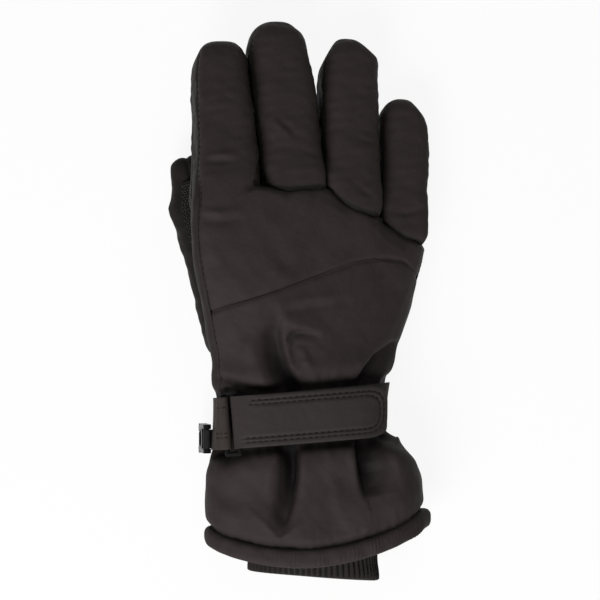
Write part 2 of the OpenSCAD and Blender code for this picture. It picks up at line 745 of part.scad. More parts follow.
// The gate's arm swung open by a, with room c round it
module gate_arm(a, c) {
    translate([0, pivot_y, pivot_z])
        rotate([a, 0, 0])
            translate([-clip_t / 2 - c, 0, -gate_w / 2 - c])
                cube([clip_t + 2 * c, -2 * pivot_y - nose_r - 0.3 + c, gate_w + 2 * c]);
}
module clip_loop() {
    color([0.12, 0.12, 0.12])
        translate(clip_pin)
            difference() {
                union() {
                    bar_along_y(clip_bar / 2 + run + webbing_t, loop_len);
                    translate([0, -loop_len / 2, -0.9]) cube([3.9 - 0.75, loop_len, 1.8]);
                }
                bar_along_y(clip_bar / 2 + run, loop_len + 2);
            }
}
module clip_body() {
    color([0.05, 0.05, 0.05])
        at_clip()
            difference() {
                union() {
                    translate([0, 0, -clip_reach]) disc(eye_r + clip_rim);
                    translate([0, pivot_y, pivot_z]) disc(lobe_r);
                    translate([0, -pivot_y, pivot_z]) disc(nose_r);
                    for (y = [-1, 1])
                        translate([-clip_t / 2, y * (loop_len + 0.6 + ear_w) / 2 - ear_w / 2, -clip_reach])
                            cube([clip_t, ear_w, clip_reach]);
                    for (y = [-1, 1])
                        translate([0, y * (loop_len + 0.6 + ear_w) / 2, 0])
                            bar_along_y(clip_t / 2, ear_w);
                    bar_along_y(clip_bar / 2, loop_len + 2);
                }
                translate([0, 0, -clip_reach]) disc(eye_r, clip_t + 2);
                translate([-clip_t, pivot_y + 0.6, pivot_z - 6]) cube([2 * clip_t, -2 * pivot_y - 2.4, 7]);
                translate([0, pivot_y, pivot_z]) disc(pivot_r + run, clip_t + 2);
                for (a = [0:gate_swing / 4:gate_swing]) gate_arm(a, 0.25);
            }
}
module clip_gate() {
    color([0.07, 0.07, 0.07])
        at_clip() {
            gate_arm(0, 0);
            translate([0, pivot_y, pivot_z]) disc(pivot_r);
        }
}

// Fingers
module index_back() { color([0.18, 0.16, 0.16]) finger_back(0); }
module index_sides() { color([0.15, 0.13, 0.13]) finger_sides(0); }
module index_palm() { color([0.13, 0.12, 0.12]) finger_palm(0); }
module index_padding() { color([0.75, 0.75, 0.72]) finger_padding(0); }
module index_lining() { color([0.25, 0.25, 0.26]) finger_lining(0); }
module middle_back() { color([0.18, 0.16, 0.16]) finger_back(1); }
module middle_sides() { color([0.15, 0.13, 0.13]) finger_sides(1); }
module middle_palm() { color([0.13, 0.12, 0.12]) finger_palm(1); }
module middle_padding() { color([0.75, 0.75, 0.72]) finger_padding(1); }
module middle_lining() { color([0.25, 0.25, 0.26]) finger_lining(1); }
module ring_back_panel() { color([0.18, 0.16, 0.16]) finger_back(2); }
module ring_sides() { color([0.15, 0.13, 0.13]) finger_sides(2); }
module ring_palm() { color([0.13, 0.12, 0.12]) finger_palm(2); }
module ring_padding() { color([0.75, 0.75, 0.72]) finger_padding(2); }
module ring_lining() { color([0.25, 0.25, 0.26]) finger_lining(2); }
module little_back_panel() { color([0.18, 0.16, 0.16]) finger_back(3); }
module little_sides() { color([0.15, 0.13, 0.13]) finger_sides(3); }
module little_palm() { color([0.13, 0.12, 0.12]) finger_palm(3); }
module little_padding() { color([0.75, 0.75, 0.72]) finger_padding(3); }
module little_lining() { color([0.25, 0.25, 0.26]) finger_lining(3); }

// Thumb panels; angle 0 is the side that faces up
module thumb_back() { color([0.14, 0.13, 0.13]) thumb_ply(0, shell_t, -180, 0); }
module thumb_palm() { color([0.12, 0.11, 0.11]) thumb_ply(0, shell_t, 0, 180); }
module thumb_padding() {
    color([0.75, 0.75, 0.72]) thumb_ply(finger_pad_d, finger_pad_d + finger_pad_t);
}
module thumb_lining() { color([0.25, 0.25, 0.26]) thumb_ply(finger_lining_d, finger_wall); }
// Grip patch on the thumb, a second skin over part of its pad
grip_t = 0.7;
grip_s0 = 0.5;
grip_s1 = 0.84;
module thumb_grip() {
    sd = thumb_l - thumb_tip;
    outer = [for (i = [0:5]) let (s = mix(grip_s0, grip_s1, i / 5) * sd)
        [thumb_r * (1 + 0.02 * sin(180 * s / sd)) - thumb_r * (1 - thumb_share) * s * s / sd / sd + 0.1, s]];
    color([0.1, 0.09, 0.09])
        at_thumb()
            rotate([0, 0, 270 + 30])
                rotate_extrude(angle = 100)
                    polygon(concat(outer, reversed([for (p = outer) [p[0] + grip_t, p[1]]])));
}

back_upper_panel();
back_lower_panel();
side_panel();
palm_panel();
palm_grip();
hand_padding();
hand_lining();
wrist_elastic();
gauntlet_back();
gauntlet_palm();
gauntlet_padding();
gauntlet_lining();
hem_binding();
knit_cuff();
strap_base();
strap_loop_patch();
ring_keeper();
clip_loop();
index_back();
index_sides();
index_palm();
index_padding();
index_lining();
middle_back();
middle_sides();
middle_palm();
middle_padding();
middle_lining();
ring_back_panel();
ring_sides();
ring_palm();
ring_padding();
ring_lining();
little_back_panel();
little_sides();
little_palm();
little_padding();
little_lining();
thumb_back();
thumb_palm();
thumb_grip();
thumb_padding();
thumb_lining();
strap_ring();
strap_tab();
strap_hook_patch();
clip_body();
clip_gate();
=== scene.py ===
import math

import bpy
import numpy as np
from bpy.props import FloatProperty, FloatVectorProperty, IntProperty, PointerProperty
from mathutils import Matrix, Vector


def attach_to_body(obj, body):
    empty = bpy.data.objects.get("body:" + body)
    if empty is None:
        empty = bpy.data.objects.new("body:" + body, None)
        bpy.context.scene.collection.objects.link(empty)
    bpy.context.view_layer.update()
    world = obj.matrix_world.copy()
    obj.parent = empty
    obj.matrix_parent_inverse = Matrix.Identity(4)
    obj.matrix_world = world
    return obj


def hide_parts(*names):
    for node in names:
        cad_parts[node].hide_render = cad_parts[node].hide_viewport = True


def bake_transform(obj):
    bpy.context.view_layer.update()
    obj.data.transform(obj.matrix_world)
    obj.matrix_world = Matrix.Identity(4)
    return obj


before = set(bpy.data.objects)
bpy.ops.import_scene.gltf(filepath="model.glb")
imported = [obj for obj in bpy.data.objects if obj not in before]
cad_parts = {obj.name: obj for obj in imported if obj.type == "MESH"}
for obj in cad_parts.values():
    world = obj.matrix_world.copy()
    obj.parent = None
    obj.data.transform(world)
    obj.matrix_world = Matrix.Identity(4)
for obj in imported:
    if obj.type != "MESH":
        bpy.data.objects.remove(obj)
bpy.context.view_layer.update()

bl_info = {
    "name": "Ski glove",
    "version": (1, 0, 0),
    "blender": (4, 5, 0),
    "location": "3D View > Sidebar > Glove",
    "description": "Sews a padded ski glove round its solid parts",
    "category": "Object",
}

MM = 0.001

# Sections of the hand: y, middle x, half width, middle z, top, bottom, squareness, roll
ROLL_ANGLE = 14.5
ROLL = math.tan(math.radians(ROLL_ANGLE))
KEYS = np.array([
    [58, 5.4, 58.6, 33, 17.1, 17.1, 4.5, ROLL],
    [32, 4.8, 58.6, 33, 17.2, 17.1, 4.4, ROLL],
    [0, 3.5, 53, 30, 20, 17, 3, 0.84 * ROLL],
    [-42, 0.5, 43, 28, 19, 17, 2.4, 0.36 * ROLL],
    [-70, 0.9, 43.5, 27, 19, 17, 2.4, 0.2 * ROLL],
    [-82, 6.5, 51.05, 26.22, 20.8, 19.6, 2.4, 0.1 * ROLL],
    [-98, 7, 54.5, 25.05, 23, 23, 2.4, 0],
    [-122, 8.5, 55.5, 25.05, 23.5, 23.5, 2.4, 0],
    [-146, 8.8, 55, 25.05, 23.5, 23.5, 2.4, 0],
])
WRIST_Y = -57
HAND_WALL = 6.1
CUFF_WALL = 4.1

# Fingers: knuckle x and y, radius, length, lean, height of the tip, seat under the back
FINGERS = {
    "index": (-36.5, 52, 14.8, 78, 3.5, 18, 0),
    "middle": (-5.9, 52, 15.2, 89, 3.5, 9, 0),
    "ring": (24.1, 46.5, 14.2, 86, 0.6, 4, 1.03),
    "little": (50.5, 33.5, 11.6, 69, 0.4, 0.3, 0),
}
TIP_SHARE = 0.94
# Cloth fingers are squarer and fuller than a round tube: edges in plan as y and x, tip bluntness,
# and the slanting corners of the tip, each as a way out in plan and its distance
FINGER_SQUARE = 3.0
FINGER_EDGES = {
    "index": (
        ((52, 75, 90, 100, 126), (-53.6, -53.5, -53.6, -54.4, -54.4)),
        ((52, 60, 92, 124), (-18.8, -19.4, -23.4, -27.4)),
    ),
    "middle": (
        ((52, 60, 92, 126), (-20.2, -20.8, -24.8, -28.4)),
        ((52, 60, 75, 90, 100, 110, 120, 130), (11.6, 11.2, 10.2, 9.2, 7.9, 6.4, 4.2, 2.8)),
    ),
    "ring": (
        ((46, 60, 75, 90, 100, 120), (9.8, 9.6, 9.0, 8.7, 8.7, 8.8)),
        ((46, 60, 100, 112, 126), (39.8, 39.6, 39.1, 38.8, 38.6)),
    ),
    "little": (
        ((33, 45, 60, 90, 105), (37.4, 38.0, 38.4, 39.0, 39.4)),
        ((33, 47, 60, 75, 90, 105), (62.8, 63.4, 64.2, 65.2, 64.6, 63.2)),
    ),
}
FINGER_BLUNT = {"index": 0.74, "middle": 0.84, "ring": 0.84, "little": 0.86}
FINGER_SLANTS = {
    "index": ((-0.916, 0.40, 96.8),),
    "middle": ((-0.970, 0.2425, 57.6), (-0.625, 0.781, 122.2), (0.625, 0.781, 105.8)),
    "ring": ((-0.863, 0.506, 51.1), (0.664, 0.748, 117.4)),
    "little": ((-0.8, 0.6, 25.4), (0.753, 0.658, 109.0), (0.923, 0.385, 94.6)),
}
# Long seams of a finger: heights over its middle as shares of its radius, and the same as angles from
# its back. A row of stitches lies beside the upper seam on the left
SEAM_HIGH = 0.47
SEAM_LOW = -0.31
BACK_HALF = 62
SIDE_END = 108
STITCH_ASIDE = 1.3
# Shade on the left side of a finger, where the next one keeps the light out, and on its right side
LEFT_SHADE = {"middle": 0.7, "ring": 0.86, "little": 0.7}
RIGHT_SHADE = 0.55
# Where a tube of cloth starts under the edge of the hand, as a length before the knuckle
TUCK = -10.0

# Thumb: base x and y, radius, length, lean, height of the tip and of the base. Its outer line is y and
# a move in x
THUMB = (-35.28, -18, 13, 92, 14, 0.3, 20)
THUMB_SHARE = 0.86
THUMB_BLUNT = 0.66
THUMB_EDGE = (
    (16, 24, 30, 36, 42, 46, 50, 54, 60, 66, 72),
    (0.0, -0.9, -1.5, -2.0, -2.7, -2.6, -1.1, 0.3, 1.8, 0.9, -0.8),
)

# Seams in plan, in millimetres
DIAGONAL = ([-48, -10, 26, 37.5, 46, 57], [-7, 5, 19, 20.8, 19, 11])
KNUCKLES = ([-36.5, -5.9, 24.1, 50.5], [52, 52, 46.5, 33.5])
KNUCKLE_SEAM = (
    [-50, -21.5, -5.5, 10, 15, 22.5, 28.5, 39, 41.5, 52, 62],
    [47, 57, 55.2, 56.6, 55, 49, 45.4, 42.5, 38.5, 32, 28],
)
PALM_SETBACK = 9.4
# Left of a polar angle the hand's cloth runs on over the index finger and turns to its tube over a length
INDEX_CUT = 115.0
INDEX_RUN = 17
INDEX_DROP = 0.6
# Edges that are turned in: of the hand's panels, of the index finger's underside and of patches
HAND_FLAP = 1.6
INDEX_FLAP = 1.2
PATCH_FLAP = 0.8
GRIP_RISE = 0.75

# Hem and knit cuff
HEM_WIDTH = 9.0
HEM_HALF = 4.6
HEM_THICK = 3.0
KNIT_START = -62.0
KNIT_END = -137.0
KNIT_SLANT = 2.5
KNIT_WALL = 2.2

# Strap across the wrist
STRAP_W = 26
STRAP_T = 1.5
STRAP_Y = 58
STRAP_TILT = 5.2
STRAP_SLOPE = math.tan(math.radians(STRAP_TILT))
TAB_END = 28
BASE_END = 4
TAB_ROUND = 15
TAB_SQUARE = 2.6
TAB_SEAMS = (2.7, 4.7)
RING_BAR = 2.4
RING_PITCH = 6.9
BAR_PLAY = 0.1
BAR_HOLE = RING_BAR / 2 + BAR_PLAY
BAR_LIFT = BAR_HOLE + STRAP_T + 1.2
STRAP_REST = 0.3
BASE_TOP = 1.5
TAB_LOW = BAR_LIFT + BAR_HOLE
TAB_TOP = TAB_LOW + STRAP_T
RING_ANGLE = 134
WEBBING_T = 1.2
PATCH_T = 1.6
# Clip's webbing: middle of its pin, width, radius round the pin, half thickness, and its ends off the pin
CLIP_PIN = np.array([-46.474, -69.5, 29.303])
CLIP_WEB = 9.4
CLIP_ROUND = 1.75
CLIP_HALF = 0.42
CLIP_END = (3.0, 0.85)

# Stage, in metres and watts: width of the picture at a height, the camera's height, its film in millimetres,
# lamps with their place, size and power, sky and floor
FRAME_WIDTH = 0.300
FRAME_HEIGHT = 0.030
CAMERA_HEIGHT = 1.8
FILM = 36
LAMPS = (
    ("key", (-0.42, -1.0, 1.0), 1.0, 24.0),
    ("back", (0.2, 0.9, 0.9), 0.9, 3.5),
    ("over", (0.0, 0.0, 1.55), 2.0, 2.0),
)
SKY = 0.13
FLOOR_REACH = 3.0
FLOOR_Z = -0.0004

# Folds seen from above: height, width to the left of or below the line, width to its right or above it,
# and points of x, y and share of the height, which run down or to the right
HAND_FOLDS = (
    # Lower back: the deep valley left of the middle and the cloth beside it
    (-7.5, 6.8, 2.6, (
        (-11, -11, 0.2), (-11.8, -18, 0.55), (-10.8, -26, 0.8),
        (-8, -34, 1), (-4.5, -40, 1), (-3.2, -45.5, 1))),
    (-2.0, 2.0, 2.0, ((-5.5, -37, 0.2), (-4, -41, 0.8), (-3, -46, 1))),
    (-1.6, 2.5, 3.5, ((4.5, -32, 0.1), (1.5, -37.5, 0.7), (-2, -45, 1))),
    (1.2, 2.4, 5.0, (
        (-9, -6, 0.3), (-7, -9.5, 0.8), (-2, -12, 1), (4, -14, 1), (10, -15.8, 0.6), (14, -17.5, 0.1))),
    (-2.0, 2.6, 1.6, ((-5, -19, 0.8), (-3, -16.5, 1), (1, -16.2, 1), (7, -17, 0.6), (11, -18, 0.1))),
    (-1.4, 1.6, 3.0, ((-2.5, -19, 0.5), (-3.5, -25, 1), (-2.5, -32, 0.7), (-3, -37, 0.3))),
    (1.5, 2.4, 2.4, ((1.5, -26, 0.4), (3, -30, 1), (5.5, -33, 0.4))),
    (0.9, 1.6, 1.6, ((0, -24.5, 0.7), (2, -26.5, 0.7))),
    # Lower back: the valley at the right, the gathers at the left above the strap, and the diagonal seam
    (-5.6, 1.8, 6.5, (
        (53, -20.5, 0.15), (46.7, -22.5, 0.5), (38.3, -28.3, 0.9),
        (32.5, -35, 1), (30, -41, 1), (29.5, -45, 1))),
    (1.3, 3.0, 2.5, ((44, -18, 0.3), (36, -24, 0.9), (30, -31, 1), (27, -38, 0.5))),
    (-2.6, 2.5, 2.0, (
        (-40, -38.5, 0.5), (-36, -39.5, 0.9), (-28.5, -42.5, 1), (-18.5, -45, 0.8), (-10, -46.5, 0.4))),
    (1.0, 2.5, 5.0, ((-38, -34.5, 0.4), (-28, -37.5, 1), (-18, -40, 0.6))),
    (0.8, 2.6, 2.6, ((-9.5, -3.5, 0.4), (1, 0, 1), (16.5, 1.5, 0.7), (23, 2, 0.1))),
    (-0.8, 2.4, 2.4, ((-4, -5.5, 0.7), (9, -3.2, 1), (24, -0.5, 0.2))),
    # Knuckle and finger of the index, then the other fingers
    (1.4, 1.6, 2.2, ((-47.5, 43.5, 0.4), (-40, 42.6, 1), (-30, 44, 0.3))),
    (-0.9, 2.4, 1.6, ((-46, 39, 0.5), (-38, 38.5, 1), (-28, 40, 0.3))),
    (1.0, 1.4, 1.8, ((-44, 71, 0.5), (-38, 71.6, 1), (-31, 71, 0.3))),
    (-0.6, 1.6, 1.6, ((-44, 68, 0.5), (-37, 68.2, 1), (-30, 68.5, 0.3))),
    (0.5, 1.8, 1.8, ((-34, 56.5, 0.4), (-27, 58.5, 1), (-21, 61, 0.5))),
    (-0.6, 1.8, 1.8, ((-33, 53.5, 0.3), (-25, 55.2, 1), (-21, 56.5, 0.8))),
    (0.7, 1.8, 1.8, ((-14.5, 90.5, 0.6), (-10, 86, 1), (-5.5, 81.5, 0.4))),
    (-0.6, 1.8, 1.8, ((-10.5, 90.5, 0.5), (-6, 86, 1), (-2, 82, 0.4))),
    (-0.7, 1.6, 1.6, ((1.5, 74.5, 0.5), (8.5, 71.5, 1))),
    (-0.8, 1.5, 1.5, ((30, 80.3, 0.5), (37, 78, 1))),
    (-0.7, 1.8, 1.8, ((26, 59, 0.4), (33, 53.4, 1), (36.5, 50.5, 0.4))),
    (-0.7, 1.5, 1.5, ((33, 107.3, 0.4), (38, 106, 1))),
    (-0.8, 1.8, 1.8, ((44, 44, 0.3), (53, 43.2, 1), (61.5, 46, 0.8))),
    # Wide swells of the lower and the upper back
    (1.5, 6.0, 5.0, ((-21, -13, 0.4), (-24, -22, 1), (-22, -32, 0.8), (-17, -42, 0.3))),
    (0.9, 5.0, 5.0, ((-16, 20, 0.6), (-12, 15, 1), (-6, 12, 0.5))),
    (-0.8, 4.0, 4.0, ((-13, 21, 0.3), (-8, 17, 1), (-2, 15, 0.3))),
)
CUFF_FOLDS = (
    # Valley left of the middle and the cloth beside it
    (-9.5, 5.8, 2.2, (
        (-3, -71, 1), (-3.2, -80, 1), (-3.5, -88, 0.9),
        (-5, -98, 0.65), (-7.5, -108, 0.4), (-9.5, -115, 0.1))),
    (-1.0, 2.2, 1.6, ((-3, -72, 1), (-3.2, -84, 1), (-4, -94, 0.5), (-5.5, -102, 0.1))),
    (0.9, 2.0, 5.0, ((1.5, -74, 0.6), (2, -84, 1), (1, -94, 0.9), (-2, -106, 0.3))),
    (1.0, 4.0, 4.0, ((-13, -76, 0.5), (-15, -86, 1), (-15.5, -96, 0.5))),
    (0.9, 1.6, 1.6, ((-26, -103, 0.2), (-17.5, -110.5, 0.8), (-12, -117, 0.8))),
    (0.9, 1.5, 1.5, ((0, -111, 0.4), (-6, -116, 0.9), (-11, -118.5, 0.6))),
    # Valley at the right, then the cloth under the strap and towards the hem
    (-7.5, 1.8, 11.0, ((28.5, -73, 0.8), (29.5, -78, 1), (31, -86, 1), (32.5, -93, 0.6), (33.5, -98, 0.1))),
    (1.0, 3.0, 1.8, ((26, -75, 0.6), (27.5, -86, 1), (30, -96, 0.3))),
    (1.2, 2.2, 2.2, ((41, -75, 0.5), (46, -80, 1), (49, -86, 0.3))),
    (-3.0, 4.0, 4.0, ((-42, -75, 0.8), (-35, -78.5, 1), (-28, -77, 0.4))),
    (-3.0, 3.0, 3.0, ((39, -67, 0.8), (46, -70, 1))),
    (0.7, 1.8, 1.8, ((33, -114, 0.8), (42, -106, 0.3))),
    (-1.2, 5.0, 5.0, ((-45, -92, 0.3), (-33, -99, 1), (-24, -103, 0.4))),
    (0.8, 3.0, 3.0, ((14, -82, 0.4), (18, -96, 1), (22, -110, 0.5))),
)


def mix(a, b, t):
    return a + (b - a) * t


def smooth(t):
    """0 to 1 with soft ends."""
    t = np.clip(t, 0, 1)
    return t * t * (3 - 2 * t)


def bell(x, width):
    return np.exp(-(x / width) ** 2)


def beside(gap, width):
    """1 up to an edge, and fading over a width past it."""
    return bell(np.maximum(gap, 0), width)


def unit(v):
    return v / np.maximum(np.linalg.norm(v, axis=-1, keepdims=True), 1e-9)


def upward(n):
    """How far a surface faces up, from 0 to 1."""
    return smooth((n[..., 2] + 0.1) / 0.6)


def lifted(p, n, rise):
    return p + n * rise[..., None]


def key_slopes():
    rows = range(len(KEYS))
    after = KEYS[[min(i + 1, len(KEYS) - 1) for i in rows]]
    before = KEYS[[max(i - 1, 0) for i in rows]]
    return (after - before) / (after - before)[:, :1]


SLOPES = key_slopes()


def section(y):
    """Rows of the hand's section at each y, smooth through the keys."""
    y = np.clip(y, KEYS[-1, 0], KEYS[0, 0])
    i = np.clip(np.searchsorted(-KEYS[:, 0], -y, side="right") - 1, 0, len(KEYS) - 2)
    a, b = KEYS[i], KEYS[i + 1]
    h = (b - a)[..., :1]
    t = (y[..., None] - a[..., :1]) / h
    s = t * t
    rise = (s * t - 2 * s + t) * h * SLOPES[i] + (s * t - s) * h * SLOPES[i + 1]
    return (2 * s * t - 3 * s + 1) * a + (3 * s - 2 * s * t) * b + rise


def round_at(s, y, turn, d):
    """Points of sections s at the polar angle turn, in degrees, depth d under the outer face."""
    c, q = np.cos(np.radians(turn)), np.sin(np.radians(turn))
    n = s[..., 6]
    size = (np.abs(c) ** n + np.abs(q) ** n) ** (1 / n)
    x = (s[..., 2] - d) * c / size
    z = (np.where(q >= 0, s[..., 4], s[..., 5]) - d) * q / size
    return np.stack([s[..., 1] + x, y + 0 * x, s[..., 3] - s[..., 7] * x + z], -1)


def skin(y, turn, d=0.0):
    """Points of the hand or gauntlet, depth d under the outer face."""
    y, turn = np.broadcast_arrays(np.asarray(y, float), np.asarray(turn, float))
    return round_at(section(y), y, turn, d)


def polar(y, angle):
    """Polar angle at y of a panel edge that the solids hold at one angle of their own."""
    n = section(np.asarray(y, float))[..., 6]
    c, q = np.cos(np.radians(angle)), np.sin(np.radians(angle))
    bent = np.degrees(np.arctan2(np.sign(q) * np.abs(q) ** (2 / n), np.sign(c) * np.abs(c) ** (2 / n)))
    return np.where(bent < -90, bent + 360, bent)


# Edges between the hand's panels, as polar angles
def edge_left(y):
    return np.interp(y, [-60, 0, 55], [156, 149, 140])


def edge_side(y):
    return np.interp(y, [-60, 55], [203, 212])


def edge_right(y):
    return np.interp(y, [-60, 55], [-13, -25])


def hem_y(turn):
    c, q = np.cos(np.radians(turn)), np.sin(np.radians(turn))
    return -117.5 + 4.5 * c - 14.5 * np.maximum(0, q) ** 2


def turned(x, y, z):
    """Rotation by x, then y, then z, in degrees about the fixed axes."""
    out = np.eye(3)
    for axis, angle in enumerate((x, y, z)):
        c, s = math.cos(math.radians(angle)), math.sin(math.radians(angle))
        i, j = (axis + 1) % 3, (axis + 2) % 3
        spin = np.eye(3)
        spin[i, i], spin[i, j], spin[j, i], spin[j, j] = c, -s, s, c
        out = spin @ out
    return out


class Stall:
    """One finger or the thumb: where it starts, how it lies and its turned outline."""

    def __init__(self, base, radius, length, lean, droop, roll, share, square, blunt):
        self.base = np.array(base, float)
        self.r, self.tip = radius, radius * share
        self.straight = length - self.tip
        self.square, self.blunt = square, blunt
        self.turn = turned(0, 0, lean) @ turned(-90 - droop, 0, 0) @ turned(0, 0, roll)
        self.axis = self.turn @ np.array([0, 0, 1.0])
        self.edges = None
        self.slants = ()

    def outline(self, s):
        """Radius, height and outward slope at s, which runs over the tip in its last quarter turn."""
        over = np.clip((s - self.straight) / self.tip, 0, math.pi / 2)
        ball = np.sqrt(np.maximum(self.r ** 2 - np.minimum(s, 0) ** 2, 0.1))
        rho = np.where(s < 0, ball, self.side(s) * np.maximum(np.cos(over), 0) ** self.blunt)
        high = np.where(s > self.straight, self.straight + self.tip * np.sin(over) ** self.blunt, s)
        return rho, high, over

    def side(self, s):
        t = np.clip(s, 0, self.straight) / self.straight
        return self.r * (1 + 0.02 * np.sin(math.pi * t)) - (self.r - self.tip) * t * t

    def across(self, phi, s):
        """Distances from the axis to the side and to the back at angle phi."""
        rho = self.outline(s)[0]
        c, q = np.cos(np.radians(phi)), np.sin(np.radians(phi))
        n = self.square + (2.4 * smooth((24 - s) / 20) if self.square > 2 else 0)
        shape = (np.abs(c) ** n + np.abs(q) ** n) ** (-1 / n)
        return rho * shape * q, rho * shape * c

    def surface(self, phi, s, rise=0.0):
        """Points at angle phi from the back and length s, lifted by rise along the outward normal."""
        _, high, over = self.outline(s)
        side, back = self.across(phi, s)
        f = np.radians(phi)
        out = np.stack([np.sin(f) * np.cos(over), -np.cos(f) * np.cos(over), np.sin(over) + 0 * f], -1)
        local = np.stack([side, -back, high + 0 * f], -1) + out * np.asarray(rise)[..., None]
        return self.fitted(local @ self.turn.T + self.base)

    def fitted(self, p):
        """Draws the tube's two sides to its edges in plan and slants off its tip."""
        if self.edges is None:
            return p
        left, right = (np.interp(p[..., 1], *edge) for edge in self.edges)
        along = (p[..., 1] - self.base[1]) / self.axis[1]
        share = (p[..., 0] - self.base[0] - along * self.axis[0]) / (self.side(along) * 1.012)
        out = p.copy()
        out[..., 0] = (left + right) / 2 + share * (right - left) / 2
        for across, ahead, far in self.slants:
            way = np.array([across, ahead, 0])
            past = out @ way - far
            out = out - way * ((past + np.sqrt(past * past + 4)) / 2)[..., None]
        return out

    def seam_gap(self, phi, s, level):
        """Distance on the surface to the seam that lies at a level over the middle."""
        return np.abs(self.across(phi, s)[1] - level * self.r) / math.sqrt(1 - level * level)

    def end(self):
        return self.straight + self.tip * math.pi / 2


def make_finger(name):
    x, y, r, length, lean, lift, seat = FINGERS[name]
    s = section(np.array([float(y)]))[0]
    z = s[3] - s[7] * (x - s[1]) + seat
    tip = r * TIP_SHARE
    droop = math.degrees(math.asin((z - lift - tip) / (length - tip)))
    made = Stall(
        (x, y, z), r, length, lean, droop, ROLL_ANGLE, TIP_SHARE, FINGER_SQUARE, FINGER_BLUNT[name])
    made.edges, made.slants = FINGER_EDGES[name], FINGER_SLANTS[name]
    return made


def make_thumb():
    x, y, r, length, lean, lift, rise = THUMB
    tip = r * THUMB_SHARE
    droop = math.degrees(math.asin((rise - lift - tip) / (length - tip)))
    return Stall((x, y, rise), r, length, lean, droop, 0, THUMB_SHARE, 2.0, THUMB_BLUNT)


STALLS = {name: make_finger(name) for name in FINGERS}
THUMB_STALL = make_thumb()


def finger_top(x, y):
    """Height of the row of fingers seen from above, with shallow valleys between them."""
    high = np.full(np.shape(x), -1e9)
    for stall in STALLS.values():
        along = (y - stall.base[1]) / stall.axis[1]
        away = (x - stall.base[0] - along * stall.axis[0]) / stall.r
        crown = np.maximum(1 - np.minimum(np.abs(away), 1) ** 3, 0.01) ** (1 / 3)
        top = stall.base[2] + along * stall.axis[2] + stall.r * crown
        high = np.maximum(high, np.where(np.abs(away) < 1.12, top, -1e9))
    return high


def ripples(p, wavelength, seed, stretch=(1, 1, 1)):
    """Smooth random swell over points, about -1 to 1."""
    rng = np.random.default_rng(seed)
    total = np.zeros(p.shape[:-1])
    for _ in range(9):
        way = unit(rng.normal(size=3)) * rng.uniform(0.7, 1.5) * 2 * math.pi / wavelength
        way = way * np.array(stretch)
        total += np.sin(p @ way + rng.uniform(0, 2 * math.pi))
    return total / 4.2


def in_plan(p, line):
    """Distance in plan from each point to a line of x, y and share, its side of it, and the share there."""
    best = np.full(p.shape[:-1], 1e9)
    share = np.zeros(p.shape[:-1])
    beyond = np.zeros(p.shape[:-1], bool)
    for (x0, y0, s0), (x1, y1, s1) in zip(line, line[1:]):
        dx, dy = x1 - x0, y1 - y0
        t = np.clip(((p[..., 0] - x0) * dx + (p[..., 1] - y0) * dy) / (dx * dx + dy * dy), 0, 1)
        off_x, off_y = p[..., 0] - x0 - t * dx, p[..., 1] - y0 - t * dy
        gap = np.hypot(off_x, off_y)
        nearer = gap < best
        best = np.where(nearer, gap, best)
        share = np.where(nearer, mix(s0, s1, t), share)
        beyond = np.where(nearer, dx * off_y - dy * off_x > 0, beyond)
    return best, beyond, share


def folded(p, folds):
    """Rise of the cloth in plan from all folds."""
    total = np.zeros(p.shape[:-1])
    for height, near, far, line in folds:
        gap, beyond, share = in_plan(p, line)
        total += height * share * bell(gap, np.where(beyond, far, near))
    return total


def sunk(rise, room):
    """Lets a fold sink softly no deeper than the room under it."""
    deep = np.maximum(-rise, 0)
    return np.where(rise < 0, -deep / (1 + (deep / room) ** 4) ** 0.25, rise)


def creased(p, n, folds):
    """How far a deep fold closes over itself and keeps the light out, from 0 to 1."""
    deep = -folded(p, folds)
    return np.maximum(smooth((deep - 0.8) / 7.5), 0.42 * smooth((deep - 0.3) / 2.6)) * upward(n)


def fold_room(y):
    """How deep a fold of the gauntlet may reach before its lining meets the knit cuff."""
    return np.interp(y, [-100, -90, -80, -72], [5.0, 4.5, 2.9, 1.5])


def line_gap(p, line):
    """Distance from each point to a line of points in space."""
    flat = p.reshape(-1, 3)
    best = np.full(len(flat), 1e9)
    for a, b in zip(line, line[1:]):
        d = b - a
        t = np.clip((flat - a) @ d / max(d @ d, 1e-9), 0, 1)
        best = np.minimum(best, np.linalg.norm(flat - a - t[:, None] * d, axis=1))
    return best.reshape(p.shape[:-1])


def facing(p, wrap=False):
    """Outward normals of a grid of points whose first way runs left to right over the top."""
    if wrap:
        du = np.roll(p, -1, 0) - np.roll(p, 1, 0)
    else:
        du = np.gradient(p, axis=0)
    return unit(np.cross(du, np.gradient(p, axis=1)))


def strap_mid(x):
    return -STRAP_Y + STRAP_SLOPE * x


def strap_edge_gap(p):
    """How far a point lies past the nearer long edge of the strap, in plan."""
    return np.abs(p[..., 1] - strap_mid(p[..., 0])) - STRAP_W / 2


def settings():
    return bpy.context.scene.glove_sizes


def colours():
    return bpy.context.scene.glove_colours


def seam_depth():
    return settings().seam / MM


def length(label, text, value, low, high):
    return FloatProperty(name=label, description=text, default=value, min=low, max=high, unit="LENGTH")


